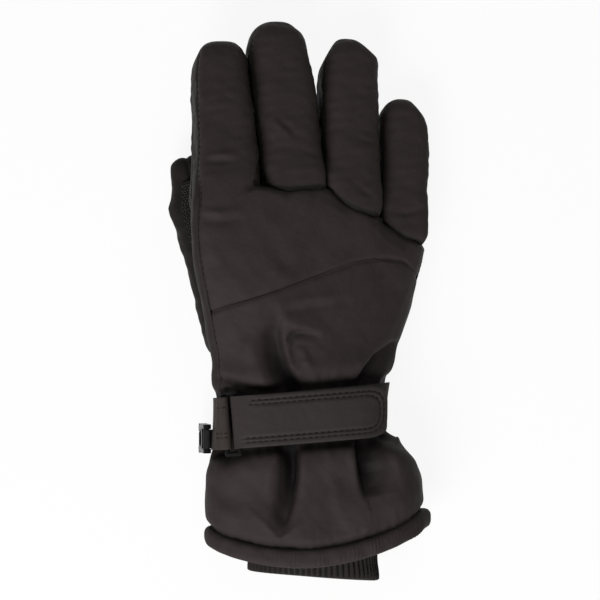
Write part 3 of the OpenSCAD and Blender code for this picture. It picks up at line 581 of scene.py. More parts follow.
class GloveSizes(bpy.types.PropertyGroup):
    weave: length("Weave", "Distance between two threads of the shell cloth", 0.00045, 0.0002, 0.002)
    stitch: length("Stitch", "Length of one stitch", 0.0022, 0.001, 0.005)
    stitch_gap: length("Stitch gap", "Free length between two stitches", 0.0009, 0.0002, 0.003)
    thread: length("Thread", "Thickness of the sewing thread", 0.00042, 0.0002, 0.001)
    seam: length("Seam depth", "How deep a seam pulls the padded cloth in", 0.0013, 0.0, 0.003)
    ply: length("Shell ply", "Thickness of the shell cloth", 0.0006, 0.0003, 0.0012)
    ribs: IntProperty(name="Ribs", description="Ribs round the knit cuff", default=72, min=30, max=120)
    rib_depth: length("Rib depth", "Height of a rib over its groove", 0.0013, 0.0002, 0.002)
    dots: length("Grip dots", "Distance between two dots of the grip patches", 0.0015, 0.001, 0.006)


def colour(label, text, value):
    return FloatVectorProperty(
        name=label, description=text, subtype="COLOR", size=3, min=0, max=1, default=value)


class GloveColours(bpy.types.PropertyGroup):
    shell: colour("Shell", "Satin nylon of the back, fingers and gauntlet", (0.0292, 0.0229, 0.0222))
    palm: colour("Palm", "Coated cloth of the palm and the thumb", (0.0145, 0.0118, 0.0114))
    strap: colour("Strap", "Cloth of the wrist strap", (0.0315, 0.0264, 0.0253))
    webbing: colour("Webbing", "Webbing of the keeper and the clip's loop", (0.036, 0.0285, 0.0258))
    knit: colour("Knit", "Rib knit of the cuff", (0.021, 0.0165, 0.0158))
    lining: colour("Lining", "Brushed lining", (0.020, 0.0195, 0.021))
    thread: colour("Thread", "Sewing thread", (0.0105, 0.0086, 0.0082))
    plastic: colour("Plastic", "Moulded ring and clip", (0.0065, 0.0062, 0.006))
    grip: colour("Grip", "Rubber dots", (0.014, 0.013, 0.0128))
    fastener: colour("Fastener", "Hook and loop patches", (0.012, 0.0115, 0.0112))


def plug(tree, slot, value):
    if isinstance(value, Value):
        tree.links.new(value.socket, slot)
    else:
        slot.default_value = value


class Value:
    """A shader socket that Python sums can use; each sum adds its Math node."""

    def __init__(self, tree, socket):
        self.tree, self.socket = tree, socket

    def math(self, operation, *parts):
        node = self.tree.nodes.new("ShaderNodeMath")
        node.operation = operation
        for slot, part in zip(node.inputs, parts):
            plug(self.tree, slot, part)
        return Value(self.tree, node.outputs[0])

    def __add__(self, other):
        return self.math("ADD", self, other)

    def __radd__(self, other):
        return self.math("ADD", other, self)

    def __sub__(self, other):
        return self.math("SUBTRACT", self, other)

    def __rsub__(self, other):
        return self.math("SUBTRACT", other, self)

    def __mul__(self, other):
        return self.math("MULTIPLY", self, other)

    def __rmul__(self, other):
        return self.math("MULTIPLY", other, self)

    def sine(self):
        return self.math("SINE", self)

    def at_most(self, other):
        return self.math("MINIMUM", self, other)

    def size(self):
        return self.math("ABSOLUTE", self)


class Finish:
    """One material; its surface is a Principled shader whose constants are set on its own sockets."""

    def __init__(self, name, rgb, **constants):
        self.material = bpy.data.materials.new(name)
        self.material.use_nodes = True
        self.tree = self.material.node_tree
        self.shader = self.tree.nodes["Principled BSDF"]
        self.rgb = (*rgb, 1)
        self.shader.inputs["Base Color"].default_value = self.rgb
        for label, value in constants.items():
            self.shader.inputs[label.replace("_", " ")].default_value = value

    def node(self, kind, settings=None, output=0, **inputs):
        """Any node: its settings, then the values or links of its sockets, by name or as _ and a number."""
        node = self.tree.nodes.new(kind)
        for key, value in (settings or {}).items():
            setattr(node, key, value)
        for label, value in inputs.items():
            key = int(label[1:]) if label[1:].isdigit() else label.replace("_", " ")
            plug(self.tree, node.inputs[key], value)
        return Value(self.tree, node.outputs[output])

    def feed(self, label, value):
        self.tree.links.new(value.socket, self.shader.inputs[label])

    def cloth_map(self):
        """Lengths along the cloth's two threads, in metres."""
        uv = self.node("ShaderNodeTexCoord", output=2)
        return tuple(self.node("ShaderNodeSeparateXYZ", output=way, Vector=uv) for way in (0, 1))

    def noise(self, scale, detail, rough):
        places = self.node("ShaderNodeTexCoord", output=3)
        return self.node("ShaderNodeTexNoise", Vector=places, Scale=scale, Detail=detail, Roughness=rough)

    def shade(self, factor):
        return tuple(c * factor for c in self.rgb[:3]) + (1,)

    def mix(self, share, low, high):
        return self.node("ShaderNodeMix", {"data_type": "RGBA"}, output=2, _0=share, _6=low, _7=high)

    def tint(self, amount, light, painted_shade=None):
        """Base colour from a darker to a lighter tone as amount goes from 0 to 1, then darkened by the last
        argument towards a painted shade for folds, seams and strap edges.
        """
        mixed = self.mix(amount, self.shade(2 - light), self.shade(light))
        # Painted shade: down to 0.12 of the base colour where a piece marks folds, seams and strap edges
        if painted_shade:
            mixed = self.mix(painted_shade, mixed, self.shade(0.12))
        self.feed("Base Color", mixed)

    def bump(self, height, strength, distance):
        made = self.node("ShaderNodeBump", Height=height, Strength=strength, Distance=distance)
        self.feed("Normal", made)


def woven(name, rgb, pitch, rough, gloss, weave_strength=0.25, crinkle=0.35):
    """Satin or coated cloth: threads, fine crinkles, uneven tone with painted sheen, uneven gloss and
    painted shade in folds and seams.
    """
    made = Finish(name, rgb, Specular_IOR_Level=gloss)
    along, across = made.cloth_map()
    turn = 2 * math.pi / pitch
    threads = (along * turn).sine() * (across * turn).sine()
    fine = made.noise(520, 3.0, 0.6)
    broad = made.noise(38, 3.0, 0.55)
    # Painted shade in folds, seams and beside the strap, read from each piece's point attribute
    painted_shade = made.node("ShaderNodeAttribute", {"attribute_name": "painted_shade"}, output=2)
    # Random mottling; its broad lighter patches also stand in as painted sheen
    made.tint((broad * 1.6 - 0.3) * 0.7 + fine * 0.3, 1.2, painted_shade)
    made.feed("Roughness", broad * 0.22 + fine * 0.1 + (rough - 0.16))
    slack = made.noise(150, 2.0, 0.5)
    pleats = (made.noise(70, 2.0, 0.5) - 0.5).size()
    weave = threads * weave_strength + fine * crinkle * 6
    made.bump(weave + broad * 1.5 + slack * 7 + pleats * 14, 0.4, 0.00014)
    return made.material


def napped(name, rgb, scale, rough=0.9, light=1.35, strength=0.7, depth=0.0004, sheen=0.15):
    """Brushed cloth, loop or hook: a pile too fine to model."""
    made = Finish(name, rgb, Specular_IOR_Level=0.12, Sheen_Weight=sheen, Sheen_Roughness=0.6)
    pile = made.noise(scale, 4.0, 0.7)
    made.tint(pile, light)
    made.feed("Roughness", pile * 0.15 + (rough - 0.08))
    made.bump(pile, strength, depth)
    return made.material


def knitted(name, rgb):
    """Rib knit: small V stitches along each rib."""
    made = Finish(name, rgb, Specular_IOR_Level=0.1, Sheen_Weight=0.08, Sheen_Roughness=0.6)
    along, across = made.cloth_map()
    lean = (along * (2 * math.pi / 0.0011)).sine().size()
    rows = (across * (2 * math.pi / 0.0013) + lean * 2.2).sine()
    fuzz = made.noise(900, 3.0, 0.7)
    made.tint(fuzz * 0.6 + rows * 0.2 + 0.2, 1.45)
    made.feed("Roughness", fuzz * 0.2 + 0.72)
    made.bump(rows * 0.5 + fuzz, 0.6, 0.0003)
    return made.material


def ribbed_webbing(name, rgb):
    """Narrow webbing: fine cross ribs."""
    made = Finish(name, rgb, Specular_IOR_Level=0.15)
    along, across = made.cloth_map()
    rows = (across * (2 * math.pi / 0.0016)).sine() * 0.4 + 0.6
    ribs = (along * (2 * math.pi / 0.0008)).sine() * rows
    fuzz = made.noise(700, 3.0, 0.65)
    made.tint(fuzz * 0.7 + ribs * 0.15 + 0.1, 1.3)
    made.feed("Roughness", fuzz * 0.2 + 0.5)
    made.bump(ribs * 0.6 + fuzz, 0.5, 0.0002)
    return made.material


def moulded(name, rgb, rough):
    """Moulded plastic with a faint flow pattern and rubbed spots."""
    made = Finish(name, rgb, Specular_IOR_Level=0.28, Specular_Tint=(0.2, 0.2, 0.2, 1))
    flow = made.noise(160, 3.0, 0.6)
    grain = made.noise(1400, 2.0, 0.5)
    made.tint(flow, 1.3)
    made.feed("Roughness", flow * 0.22 + (rough - 0.08))
    made.bump(grain + flow * 2, 0.12, 0.0001)
    return made.material


def rubber(name, rgb):
    """Grip rubber with dull, dusty spots."""
    made = Finish(name, rgb, Specular_IOR_Level=0.4)
    dust = made.noise(420, 3.0, 0.6)
    made.tint(dust, 1.35)
    made.feed("Roughness", dust * 0.3 + 0.38)
    made.bump(dust, 0.25, 0.0001)
    return made.material


FINISHES = {}


def make_finishes():
    c, weave = colours(), settings().weave
    FINISHES.update(
        shell=woven("satin_nylon", c.shell, weave, 0.64, gloss=0.1),
        palm=woven("coated_palm_cloth", c.palm, weave * 1.6, 0.62, gloss=0.06, weave_strength=0.5),
        strap=woven("strap_cloth", c.strap, weave * 1.2, 0.66, gloss=0.1, crinkle=0.2),
        webbing=ribbed_webbing("keeper_webbing", c.webbing),
        knit=knitted("rib_knit", c.knit),
        lining=napped("brushed_lining", c.lining, 900),
        thread=napped(
            "sewing_thread", c.thread, 2500, rough=0.75, light=1.2, strength=0.3, depth=0.0001, sheen=0.0),
        plastic=moulded("gloss_plastic", c.plastic, 0.32),
        matte=moulded("matte_plastic", c.plastic, 0.6),
        loop=ribbed_webbing("clip_webbing", c.fastener),
        grip=rubber("grip_rubber", c.grip),
        fastener=napped(
            "hook_and_loop", c.fastener, 1500, rough=0.95, light=1.6, strength=1.0, depth=0.0006),
    )


def arc_map(p, wrap):
    """Lengths along both ways of a grid, in metres, with one more column where it wraps."""
    full = np.concatenate([p, p[:1]]) if wrap else p
    du = np.linalg.norm(np.diff(full, axis=0), axis=-1)
    u = np.concatenate([np.zeros((1, full.shape[1])), np.cumsum(du, 0)])
    u = u - u[len(u) // 2]
    dv = np.linalg.norm(np.diff(full, axis=1), axis=-1)
    v = np.concatenate([np.zeros((len(full), 1)), np.cumsum(dv, 1)], 1) + full[:, :1, 1]
    return np.stack([u, v], -1) * MM


def corners(grid):
    """The four corners of each face of a grid, in order round it."""
    return np.stack([grid[:-1, :-1], grid[1:, :-1], grid[1:, 1:], grid[:-1, 1:]], 2)


def build(name, verts, faces, finish, uv=None, painted_shade=None):
    """A smooth piece of points in millimetres. uv has a place for each corner of each face, and the last
    argument a painted shade from 0 to 1 for each point of the grid; points past it get no painted shade."""
    mesh = bpy.data.meshes.new(name)
    mesh.from_pydata((verts * MM).tolist(), [], faces)
    if uv is not None:
        layer = mesh.uv_layers.new(name="cloth")
        layer.data.foreach_set("uv", uv.astype(np.float32).ravel())
    # Painted shade per point, which the finishes use to darken the base colour
    if painted_shade is not None:
        deep = np.zeros(len(verts), np.float32)
        deep[:painted_shade.size] = painted_shade.ravel()
        mesh.attributes.new("painted_shade", "FLOAT", "POINT").data.foreach_set("value", deep)
    mesh.polygons.foreach_set("use_smooth", np.ones(len(mesh.polygons), bool))
    mesh.materials.append(FINISHES[finish])
    mesh.update()
    made = bpy.data.objects.new(name, mesh)
    bpy.context.scene.collection.objects.link(made)
    return made


def sew(name, p, finish, wrap=False, tip=False, tail=False, painted_shade=None):
    """A piece of a grid of points. A tip or tail closes an end on its middle."""
    nu, nv = p.shape[:2]
    uv = arc_map(p, wrap)
    ids = np.arange(nu * nv).reshape(nu, nv)
    if wrap:
        ids = np.concatenate([ids, ids[:1]])
    verts = p.reshape(-1, 3)
    faces, maps = corners(ids).reshape(-1, 4).tolist(), [corners(uv).reshape(-1, 2)]
    for wanted, row, way in ((tip, nv - 1, 1), (tail, 0, -1)):
        if wanted:
            pairs = np.stack([ids[:-1, row], ids[1:, row]], 1)[:, ::way]
            faces.extend([*pair, len(verts)] for pair in pairs.tolist())
            maps.append(np.stack([uv[:-1, row], uv[1:, row], uv[:-1, row]], 1).reshape(-1, 2))
            verts = np.concatenate([verts, p[:, row].mean(0)[None]])
    return build(name, verts, faces, finish, np.concatenate(maps), painted_shade)


def refinish(node, finish, bevel):
    """Rounds the edges of a moulded solid and gives it its finish."""
    node.data.materials.clear()
    node.data.materials.append(FINISHES[finish])
    edge = node.modifiers.new("moulded_edge", "BEVEL")
    edge.width = bevel
    edge.segments = 4
    edge.limit_method = "ANGLE"
    edge.angle_limit = math.radians(38)


def thicken(piece):
    """Gives cloth its thickness, inward."""
    ply = piece.modifiers.new("ply", "SOLIDIFY")
    ply.thickness = settings().ply
    ply.offset = -1
    ply.use_even_offset = False
    return piece


def turn_in(p, n, depth):
    """Adds a seam allowance: the grid's four edges turned straight in."""
    wide = np.pad(p, ((1, 1), (1, 1), (0, 0)), mode="edge")
    way = np.pad(n, ((1, 1), (1, 1), (0, 0)), mode="edge")
    drop = np.zeros(wide.shape[:2])
    drop[[0, -1], :] = depth
    drop[:, [0, -1]] = depth
    return wide - way * drop[..., None]


def run_of(line):
    """Length along a line at each of its points."""
    return np.concatenate([[0], np.cumsum(np.linalg.norm(np.diff(line, axis=0), axis=1))])


def tube(rings, around):
    """Quads between the rings of points of a short tube."""
    ids = np.arange(rings * around).reshape(rings, around)
    return corners(np.concatenate([ids, ids[:, :1]], 1)).reshape(-1, 4)


def copies(name, solids, shape, finish):
    """A piece of many small solids, each a list of points, with the faces of one of them."""
    size = len(solids[0])
    faces = [[k * size + corner for corner in face] for k in range(len(solids)) for face in shape]
    return build(name, np.concatenate(solids), faces, finish)


def stitches(name, rows):
    """Sewn stitches along lines; each row is a line of points and the outward way at each point."""
    sizes = settings()
    length, gap, thick = sizes.stitch / MM, sizes.stitch_gap / MM, sizes.thread / MM
    rings, around = 5, 6
    bow = np.linspace(-1, 1, rings)
    girth = np.sqrt(1 - 0.92 * bow ** 2)
    turns = np.arange(around) * 2 * math.pi / around
    t = bow[:, None, None]
    solids = []
    for line, out in rows:
        run = run_of(line)
        for n in range(int(run[-1] / (length + gap))):
            at = (n + 0.5) * (length + gap)
            ends = [at - length / 2, at, at + length / 2]
            a, m, b = (np.array([np.interp(e, run, line[:, k]) for k in range(3)]) for e in ends)
            up = unit(np.array([np.interp(at, run, out[:, k]) for k in range(3)]))
            way = unit(b - a)
            side = unit(np.cross(way, up))
            up = np.cross(side, way)
            core = np.where(t < 0, mix(m, a, -t), mix(m, b, t)) + up * thick * (0.45 - 0.55 * t * t)
            ring = side * np.cos(turns)[None, :, None] + 0.7 * up * np.sin(turns)[None, :, None]
            solids.append((core + ring * girth[:, None, None] * thick / 2).reshape(-1, 3))
    caps = [list(range(around)), list(range(around * rings - 1, around * (rings - 1) - 1, -1))]
    return copies(name, solids, tube(rings, around).tolist() + caps, "thread")


# Bodies that bend off the hand: where their cloth stops to follow the hand, and where it follows the body
BENDS = {
    "index_finger": ((-35, 52, 44), (-45.5, 82, 40)),
    "middle_finger": ((-5.5, 56, 36), (-7.5, 90, 30)),
    "ring_finger": ((25.5, 50, 28), (41, 80, 24)),
    "little_finger": ((51.5, 33, 21), (63.5, 59.5, 18)),
    "thumb": (THUMB_STALL.base - 6 * THUMB_STALL.axis, THUMB_STALL.base + 26 * THUMB_STALL.axis),
}


def attach(piece, slot, body, *nodes, soft=False):
    """Stands a piece in for solids of the pack and lets it go with a body; a piece on a body that bends off
    the hand keeps its place.
    """
    if nodes:
        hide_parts(*nodes)
    if body in BENDS:
        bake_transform(piece)
    else:
        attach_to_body(piece, body)


def index_columns(turn):
    """Angle round the index finger that continues each polar angle of the hand's knuckle row."""
    return np.interp(turn, [INDEX_CUT, 140, 212], [BACK_HALF, -BACK_HALF, -SIDE_END])


def hand_grid(rows, columns, left, right, low, high):
    """Points of the hand between two long edges, from low to high, left to right, and their angles."""
    q = np.linspace(0, 1, columns)[:, None]
    v = np.linspace(0, 1, rows)[None]
    y = mix(-20.0, 20.0, v) + 0 * q
    for _ in range(4):
        turn = mix(left(y), right(y), q)
        x = skin(y, turn)[..., 0]
        y = mix(low(x, turn), high(x, turn), v)
    turn = mix(left(y), right(y), q)
    return skin(y, turn), turn


# Ends of the hand's panels, as y
def seam_line_y(x, turn=None):
    return np.interp(x, *DIAGONAL)


def wrist_line(x, turn=None):
    return WRIST_Y + 0 * x


def knuckle_seam_y(x, turn=None):
    return np.interp(x, *KNUCKLE_SEAM)


def palm_lip_y(x, turn):
    return np.interp(x, *KNUCKLES) - 0.5 - PALM_SETBACK * smooth(-np.sin(np.radians(turn)) / 0.8)


def stretch_index(p, turn, reach):
    """Carries hand columns on over the index finger, from the knuckle row to the fingertip."""
    stall = STALLS["index"]
    edge, at = p[:, -1], turn[:, -1]
    phi = index_columns(at)[:, None]
    s0 = ((edge[:, 1] - stall.base[1]) / stall.axis[1])[:, None]
    s = s0 + (stall.end() - s0) * np.linspace(0, 1, reach + 1)[None, 1:]
    on_finger = stall.surface(phi, s)
    on_hand = skin(on_finger[..., 1], at[:, None])
    on_hand[..., 2] += (s - s0) * stall.axis[2] * INDEX_DROP
    share = smooth((s - s0) / INDEX_RUN)[..., None]
    return mix(on_hand, on_finger, share), phi + 0 * s, s


def index_web(s):
    """How far the hand's cloth lifts the right seam of the index finger off its tube, at each s."""
    stall = STALLS["index"]
    y = 56.0
    for _ in range(4):
        y = float(knuckle_seam_y(skin(y, INDEX_CUT)[0]))
    s0 = (y - stall.base[1]) / stall.axis[1]
    run = np.maximum(s, s0)
    on_finger = stall.surface(BACK_HALF + 0 * run, run)
    on_hand = skin(on_finger[..., 1], INDEX_CUT)
    on_hand[..., 2] += (run - s0) * stall.axis[2] * INDEX_DROP
    off = (on_hand - on_finger) * (1 - smooth((run - s0) / INDEX_RUN))[..., None]
    off[..., 2] -= 3.5 * smooth((s0 + 1.5 - s) / 5) + 1.1 * smooth((s0 + 13 - s) / 9)
    return off


class Room:
    """Space that the thumb sweeps under the hand, which the hand's cloth stays out of."""

    def __init__(self):
        swing, steps, margin = 40, 15, 1.4
        stall = THUMB_STALL
        ways = [turned(0, 0, turn) @ stall.axis * stall.straight for turn in np.linspace(0, swing, steps)]
        self.lines = [(stall.base, stall.base + way) for way in ways]
        self.r0, self.r1 = stall.r * 1.02 + margin, stall.tip + margin

    def inside(self, p):
        """How deep points lie in the room, and the way out of it."""
        deep = np.full(p.shape[:-1], -1e9)
        way = np.zeros(p.shape)
        for a, b in self.lines:
            d = b - a
            t = np.clip((p - a) @ d / (d @ d), 0, 1)
            off = p - a - t[..., None] * d
            far = np.linalg.norm(off, axis=-1)
            depth = mix(self.r0, self.r1, t) - far
            deeper = depth > deep
            deep = np.where(deeper, depth, deep)
            way = np.where(deeper[..., None], unit(off), way)
        return deep, way

    def clear(self, p):
        """Pushes points up and in until they lie out of the room."""
        out = p.copy()
        for _ in range(40):
            deep, way = self.inside(out)
            lean = unit(way + np.array([0.35, 0.0, 0.75]))
            out = out + lean * np.clip(deep, 0, 1.2)[..., None]
        return out


ROOM = Room()


def hand_lines():
    """Sewn lines of the hand, as points in space."""
    y = np.linspace(WRIST_Y, 52, 60)
    turns = np.linspace(162, -28, 90)
    across = skin(0 * turns, turns)
    return {
        "left": skin(y, edge_left(y)),
        "side": ROOM.clear(skin(y, edge_side(y))),
        "right": skin(y[y < 30], edge_right(y[y < 30])),
        "diagonal": skin(seam_line_y(across[:, 0]), turns),
    }


def seam_pull(gap, share=1.0, width=1.2):
    """A seam pulls padded cloth in by a share of its depth: a sharp groove in a wide soft valley."""
    return -seam_depth() * share * (0.6 * bell(gap, width) + 0.4 * np.exp(-gap / 4))


def drape_to_fingers(p, turn):
    """Lays the top edge of the back down on the row of fingers."""
    gap = knuckle_seam_y(p[..., 0]) - p[..., 1]
    reach = 3 + 6 * smooth((112 - turn) / 20)
    share = smooth(1 - gap / reach) * smooth((121 - turn) / 13) * smooth((turn - 32) / 14)
    want = finger_top(p[..., 0], p[..., 1]) - 0.3
    want = np.maximum(want, p[..., 2] - 2.6)
    out = p.copy()
    out[..., 2] = mix(p[..., 2], want, share)
    return out


def hand_swell(p, n, seams):
    """Outward rise of the hand's padded cloth: seams, folds, swells and the pull of the strap."""
    rise = folded(p, HAND_FOLDS) * upward(n)
    for line in seams:
        rise = rise + seam_pull(line_gap(p, line))
    past = strap_edge_gap(p)
    back = smooth((n[..., 2] + 0.3) / 0.5)
    rise = rise + back * (1.8 * bell(past - 9, 7) - 2.6 * beside(past - 0.5, 3.2))
    gather = np.sin(p[..., 0] * 1.05 + 2.2 * ripples(p, 22, 5)) * np.exp(-np.maximum(past, 0) / 6)
    rise = rise + 0.25 * gather * (0.4 + 0.6 * back)
    rise = rise + 0.45 * ripples(p, 26, 11) + 0.18 * ripples(p, 9, 12)
    return sunk(rise, HAND_WALL - 0.5)


class GLOVE_OT_stage(bpy.types.Operator):
    """Set the camera over the glove, light it softly and lay a pale floor under it"""

    bl_idname = "glove.stage"
    bl_label = "Stage"

    def execute(self, context):
        scene = context.scene
        scene.view_settings.view_transform = "Standard"
        self.camera(scene)
        for lamp in LAMPS:
            self.lamp(scene, *lamp)
        self.sky(scene)
        self.floor(scene)
        return {"FINISHED"}

    def place(self, scene, name, data, at=(0, 0, 0)):
        made = bpy.data.objects.new(name, data)
        made.location = at
        scene.collection.objects.link(made)
        return made

    def camera(self, scene):
        data = bpy.data.cameras.new("camera")
        data.sensor_width = FILM
        data.lens = FILM * (CAMERA_HEIGHT - FRAME_HEIGHT) / FRAME_WIDTH
        scene.camera = self.place(scene, "camera", data, (0, 0, CAMERA_HEIGHT))

    def lamp(self, scene, name, at, size, power):
        data = bpy.data.lights.new(name, "AREA")
        data.shape = "DISK"
        data.size = size
        data.energy = power
        shown = self.place(scene, name, data, at)
        shown.rotation_euler = (-Vector(at)).to_track_quat("-Z", "Y").to_euler()

    def sky(self, scene):
        world = bpy.data.worlds.new("studio")
        world.use_nodes = True
        light = world.node_tree.nodes["Background"]
        light.inputs["Color"].default_value = (1, 1, 1, 1)
        light.inputs["Strength"].default_value = SKY
        scene.world = world

    def floor(self, scene):
        far = FLOOR_REACH
        places = [(-far, -far), (far, -far), (far, far), (-far, far)]
        mesh = bpy.data.meshes.new("floor")
        mesh.from_pydata([(*place, FLOOR_Z) for place in places], [], [(0, 1, 2, 3)])
        mesh.materials.append(self.floor_finish())
        self.place(scene, "floor", mesh)

    def floor_finish(self):
        """Mostly plain white where it is looked at, and a pale surface to all other light."""
        made = Finish("pale_floor", (0.86, 0.86, 0.86), Roughness=0.9)
        camera, glossy, through = (made.node("ShaderNodeLightPath", output=way) for way in (0, 3, 6))
        seen = (camera + glossy + through).at_most(1) * 0.9
        pale = Value(made.tree, made.shader.outputs[0])
        white = made.node("ShaderNodeEmission", Color=(1, 1, 1, 1), Strength=1.0)
        mixed = made.node("ShaderNodeMixShader", _0=seen, _1=pale, _2=white)
        made.tree.links.new(mixed.socket, made.tree.nodes["Material Output"].inputs["Surface"])
        return made.material


class GLOVE_OT_hand(bpy.types.Operator):
    """Sew the panels of the hand, the upper one and the side one running on over the index finger"""

    bl_idname = "glove.hand"
    bl_label = "Hand"

    def execute(self, context):
        lines = hand_lines()
        self.lower(lines)
        self.upper(lines)
        self.side(lines)
        self.palm(lines)
        return {"FINISHED"}

    def finish(self, name, p, rise, body, nodes, cloth="shell", shade=0.0):
        n = facing(p)
        # Painted shade: of the folds and strap edges, and at least the given shade over the whole panel
        painted_shade = np.pad(np.maximum(self.painted_shade(p, n), shade), 1, mode="edge")
        p = lifted(p, n, rise)
        piece = thicken(sew(name, turn_in(p, facing(p), HAND_FLAP), cloth, painted_shade=painted_shade))
        attach(piece, "shell" if cloth == "shell" else "palm_cloth", body, *nodes, soft=True)

    def painted_shade(self, p, n):
        """Painted shade in the folds and along the strap's edges."""
        strap_shade = 0.55 * beside(strap_edge_gap(p) - 0.5, 1.8) * upward(n)
        return np.maximum(creased(p, n, HAND_FOLDS), strap_shade)

    def lower(self, lines):
        p, _ = hand_grid(96, 190, edge_left, edge_right, wrist_line, seam_line_y)
        n = facing(p)
        rise = hand_swell(p, n, [lines["left"], lines["right"], lines["diagonal"]])
        self.finish("back_lower", p, rise, "hand", ["back_lower_panel"])
        shaped = lifted(p, n, rise)
        row = stitches("side_stitches", [(shaped[2, 10:], facing(shaped)[2, 10:])])
        attach(row, "shell", "hand")

    def upper(self, lines):
        p, turn = hand_grid(90, 200, edge_left, edge_right, seam_line_y, knuckle_seam_y)
        p = drape_to_fingers(p, turn)
        n = facing(p)
        rise = hand_swell(p, n, [lines["left"], lines["right"], lines["diagonal"]])
        gap = knuckle_seam_y(p[..., 0]) - p[..., 1]
        sewn = smooth((121 - turn) / 9)
        rise = rise - sewn * 1.9 * beside(gap, 1.8)
        keep = np.nonzero(turn[:, -1] >= INDEX_CUT - 0.1)[0]
        q, phi, s = stretch_index(p[keep], turn[keep], 130)
        whole = np.concatenate([p[keep], q], 1)
        tube = lifted(whole, facing(whole), self.onto_index(rise[keep], whole, phi, s))
        # Painted shade also in the groove of the knuckle seam
        painted_shade = np.maximum(self.painted_shade(p, n), 0.8 * sewn * beside(gap, 0.9))
        self.join(lifted(p, n, rise), tube, keep, np.pad(painted_shade, 1, mode="edge"))
        row = stitches("index_stitches", [(tube[2, 4:-14], facing(tube)[2, 4:-14])])
        attach(row, "shell", "index_finger")

    def onto_index(self, rise, whole, phi, s):
        """Carries the rise of the hand's cloth on into that of the index finger."""
        lift = finger_swell(STALLS["index"], phi, s, whole[:, rise.shape[1]:])
        lift = mix(np.broadcast_to(rise[:, -1:], lift.shape), lift, smooth((s - s[:, :1]) / 12))
        return np.concatenate([rise, lift], 1)

    def join(self, hand, tube, keep, painted_shade):
        """One cloth of the hand's grid and of the strip that runs on over the index finger."""
        wide = turn_in(hand, facing(hand), HAND_FLAP)
        start = hand.shape[1]
        strip, flap = tube[:, start:], HAND_FLAP * facing(tube)[:, start:]
        strip = np.concatenate([strip[:1] - flap[:1], strip, strip[-1:] - flap[-1:]])
        nu, nv = wide.shape[:2]
        ids = np.arange(nu * nv).reshape(nu, nv)
        more = nu * nv + np.arange(strip.size // 3).reshape(strip.shape[:2])
        first, last = keep[0] + 1, keep[-1] + 1
        edged = np.ones((nu - 1, nv - 1), bool)
        edged[first:last, -1] = False
        root = np.concatenate([ids[first - 1:last + 1, -2], ids[last:last + 1, -1]])
        full = np.concatenate([root[:, None], more], 1)
        quads = np.concatenate([corners(ids)[edged], corners(full).reshape(-1, 4)])
        verts = np.concatenate([wide.reshape(-1, 3), strip.reshape(-1, 3)])
        flat = np.concatenate([arc_map(part, False).reshape(-1, 2) for part in (wide, strip)])
        piece = build("back_upper", verts, quads.tolist(), "shell", flat[quads.ravel()], painted_shade)
        attach(thicken(piece), "shell", "index_finger", "back_upper_panel", "index_back", soft=True)

    def side(self, lines):
        p, turn = hand_grid(110, 60, edge_side, edge_left, wrist_line, knuckle_seam_y)
        q, phi, s = stretch_index(p, turn, 120)
        whole = ROOM.clear(np.concatenate([p, q], 1))
        rise = hand_swell(whole, facing(whole), [lines["left"], lines["side"]])
        rise = self.onto_index(rise[:, :p.shape[1]], whole, phi, s)
        # Painted shade a quarter of the way to the darkest over the whole side panel
        self.finish("side_panel", whole, rise, "index_finger", ["side_panel", "index_sides"], shade=0.25)

    def palm(self, lines):
        p, turn = hand_grid(120, 170, lambda y: edge_right(y) + 360, edge_side, wrist_line, palm_lip_y)
        p = ROOM.clear(p)
        rise = hand_swell(p, facing(p), [lines["side"], lines["right"]])
        gap = palm_lip_y(p[..., 0], turn) - p[..., 1]
        rise = rise + seam_pull(np.maximum(gap, 0))
        self.finish("palm", p, rise, "hand", ["palm_panel", "hand_padding", "wrist_elastic"], "palm")


def finger_swell(stall, phi, s, p, base=None):
    """Outward rise of a finger's padded cloth: seams, folds and swells. A whole tube has one at its base."""
    rise = np.zeros(np.broadcast(phi, s).shape)
    for level, share in ((SEAM_HIGH, 0.6), (SEAM_LOW, 0.3)):
        rise = rise + seam_pull(stall.seam_gap(phi, s, level), share, 0.9)
    n = facing(p, wrap=base is not None)
    rise = rise + folded(p, HAND_FOLDS) * upward(n)
    rise = rise + 0.35 * ripples(p, 22, 21) + 0.2 * ripples(p, 8, 22, (0.6, 1.3, 1))
    over = np.clip((s - stall.straight) / stall.tip, 0, 1)
    pleat = np.sin(np.radians(phi) * 15 + 3 * ripples(p, 18, 23))
    rise = rise + 0.1 * (pleat * smooth(over * 2) * smooth((1.4 - over) * 2))
    if base is not None:
        rise = rise + base
    return rise * smooth((1.56 - over * math.pi / 2) * 3)


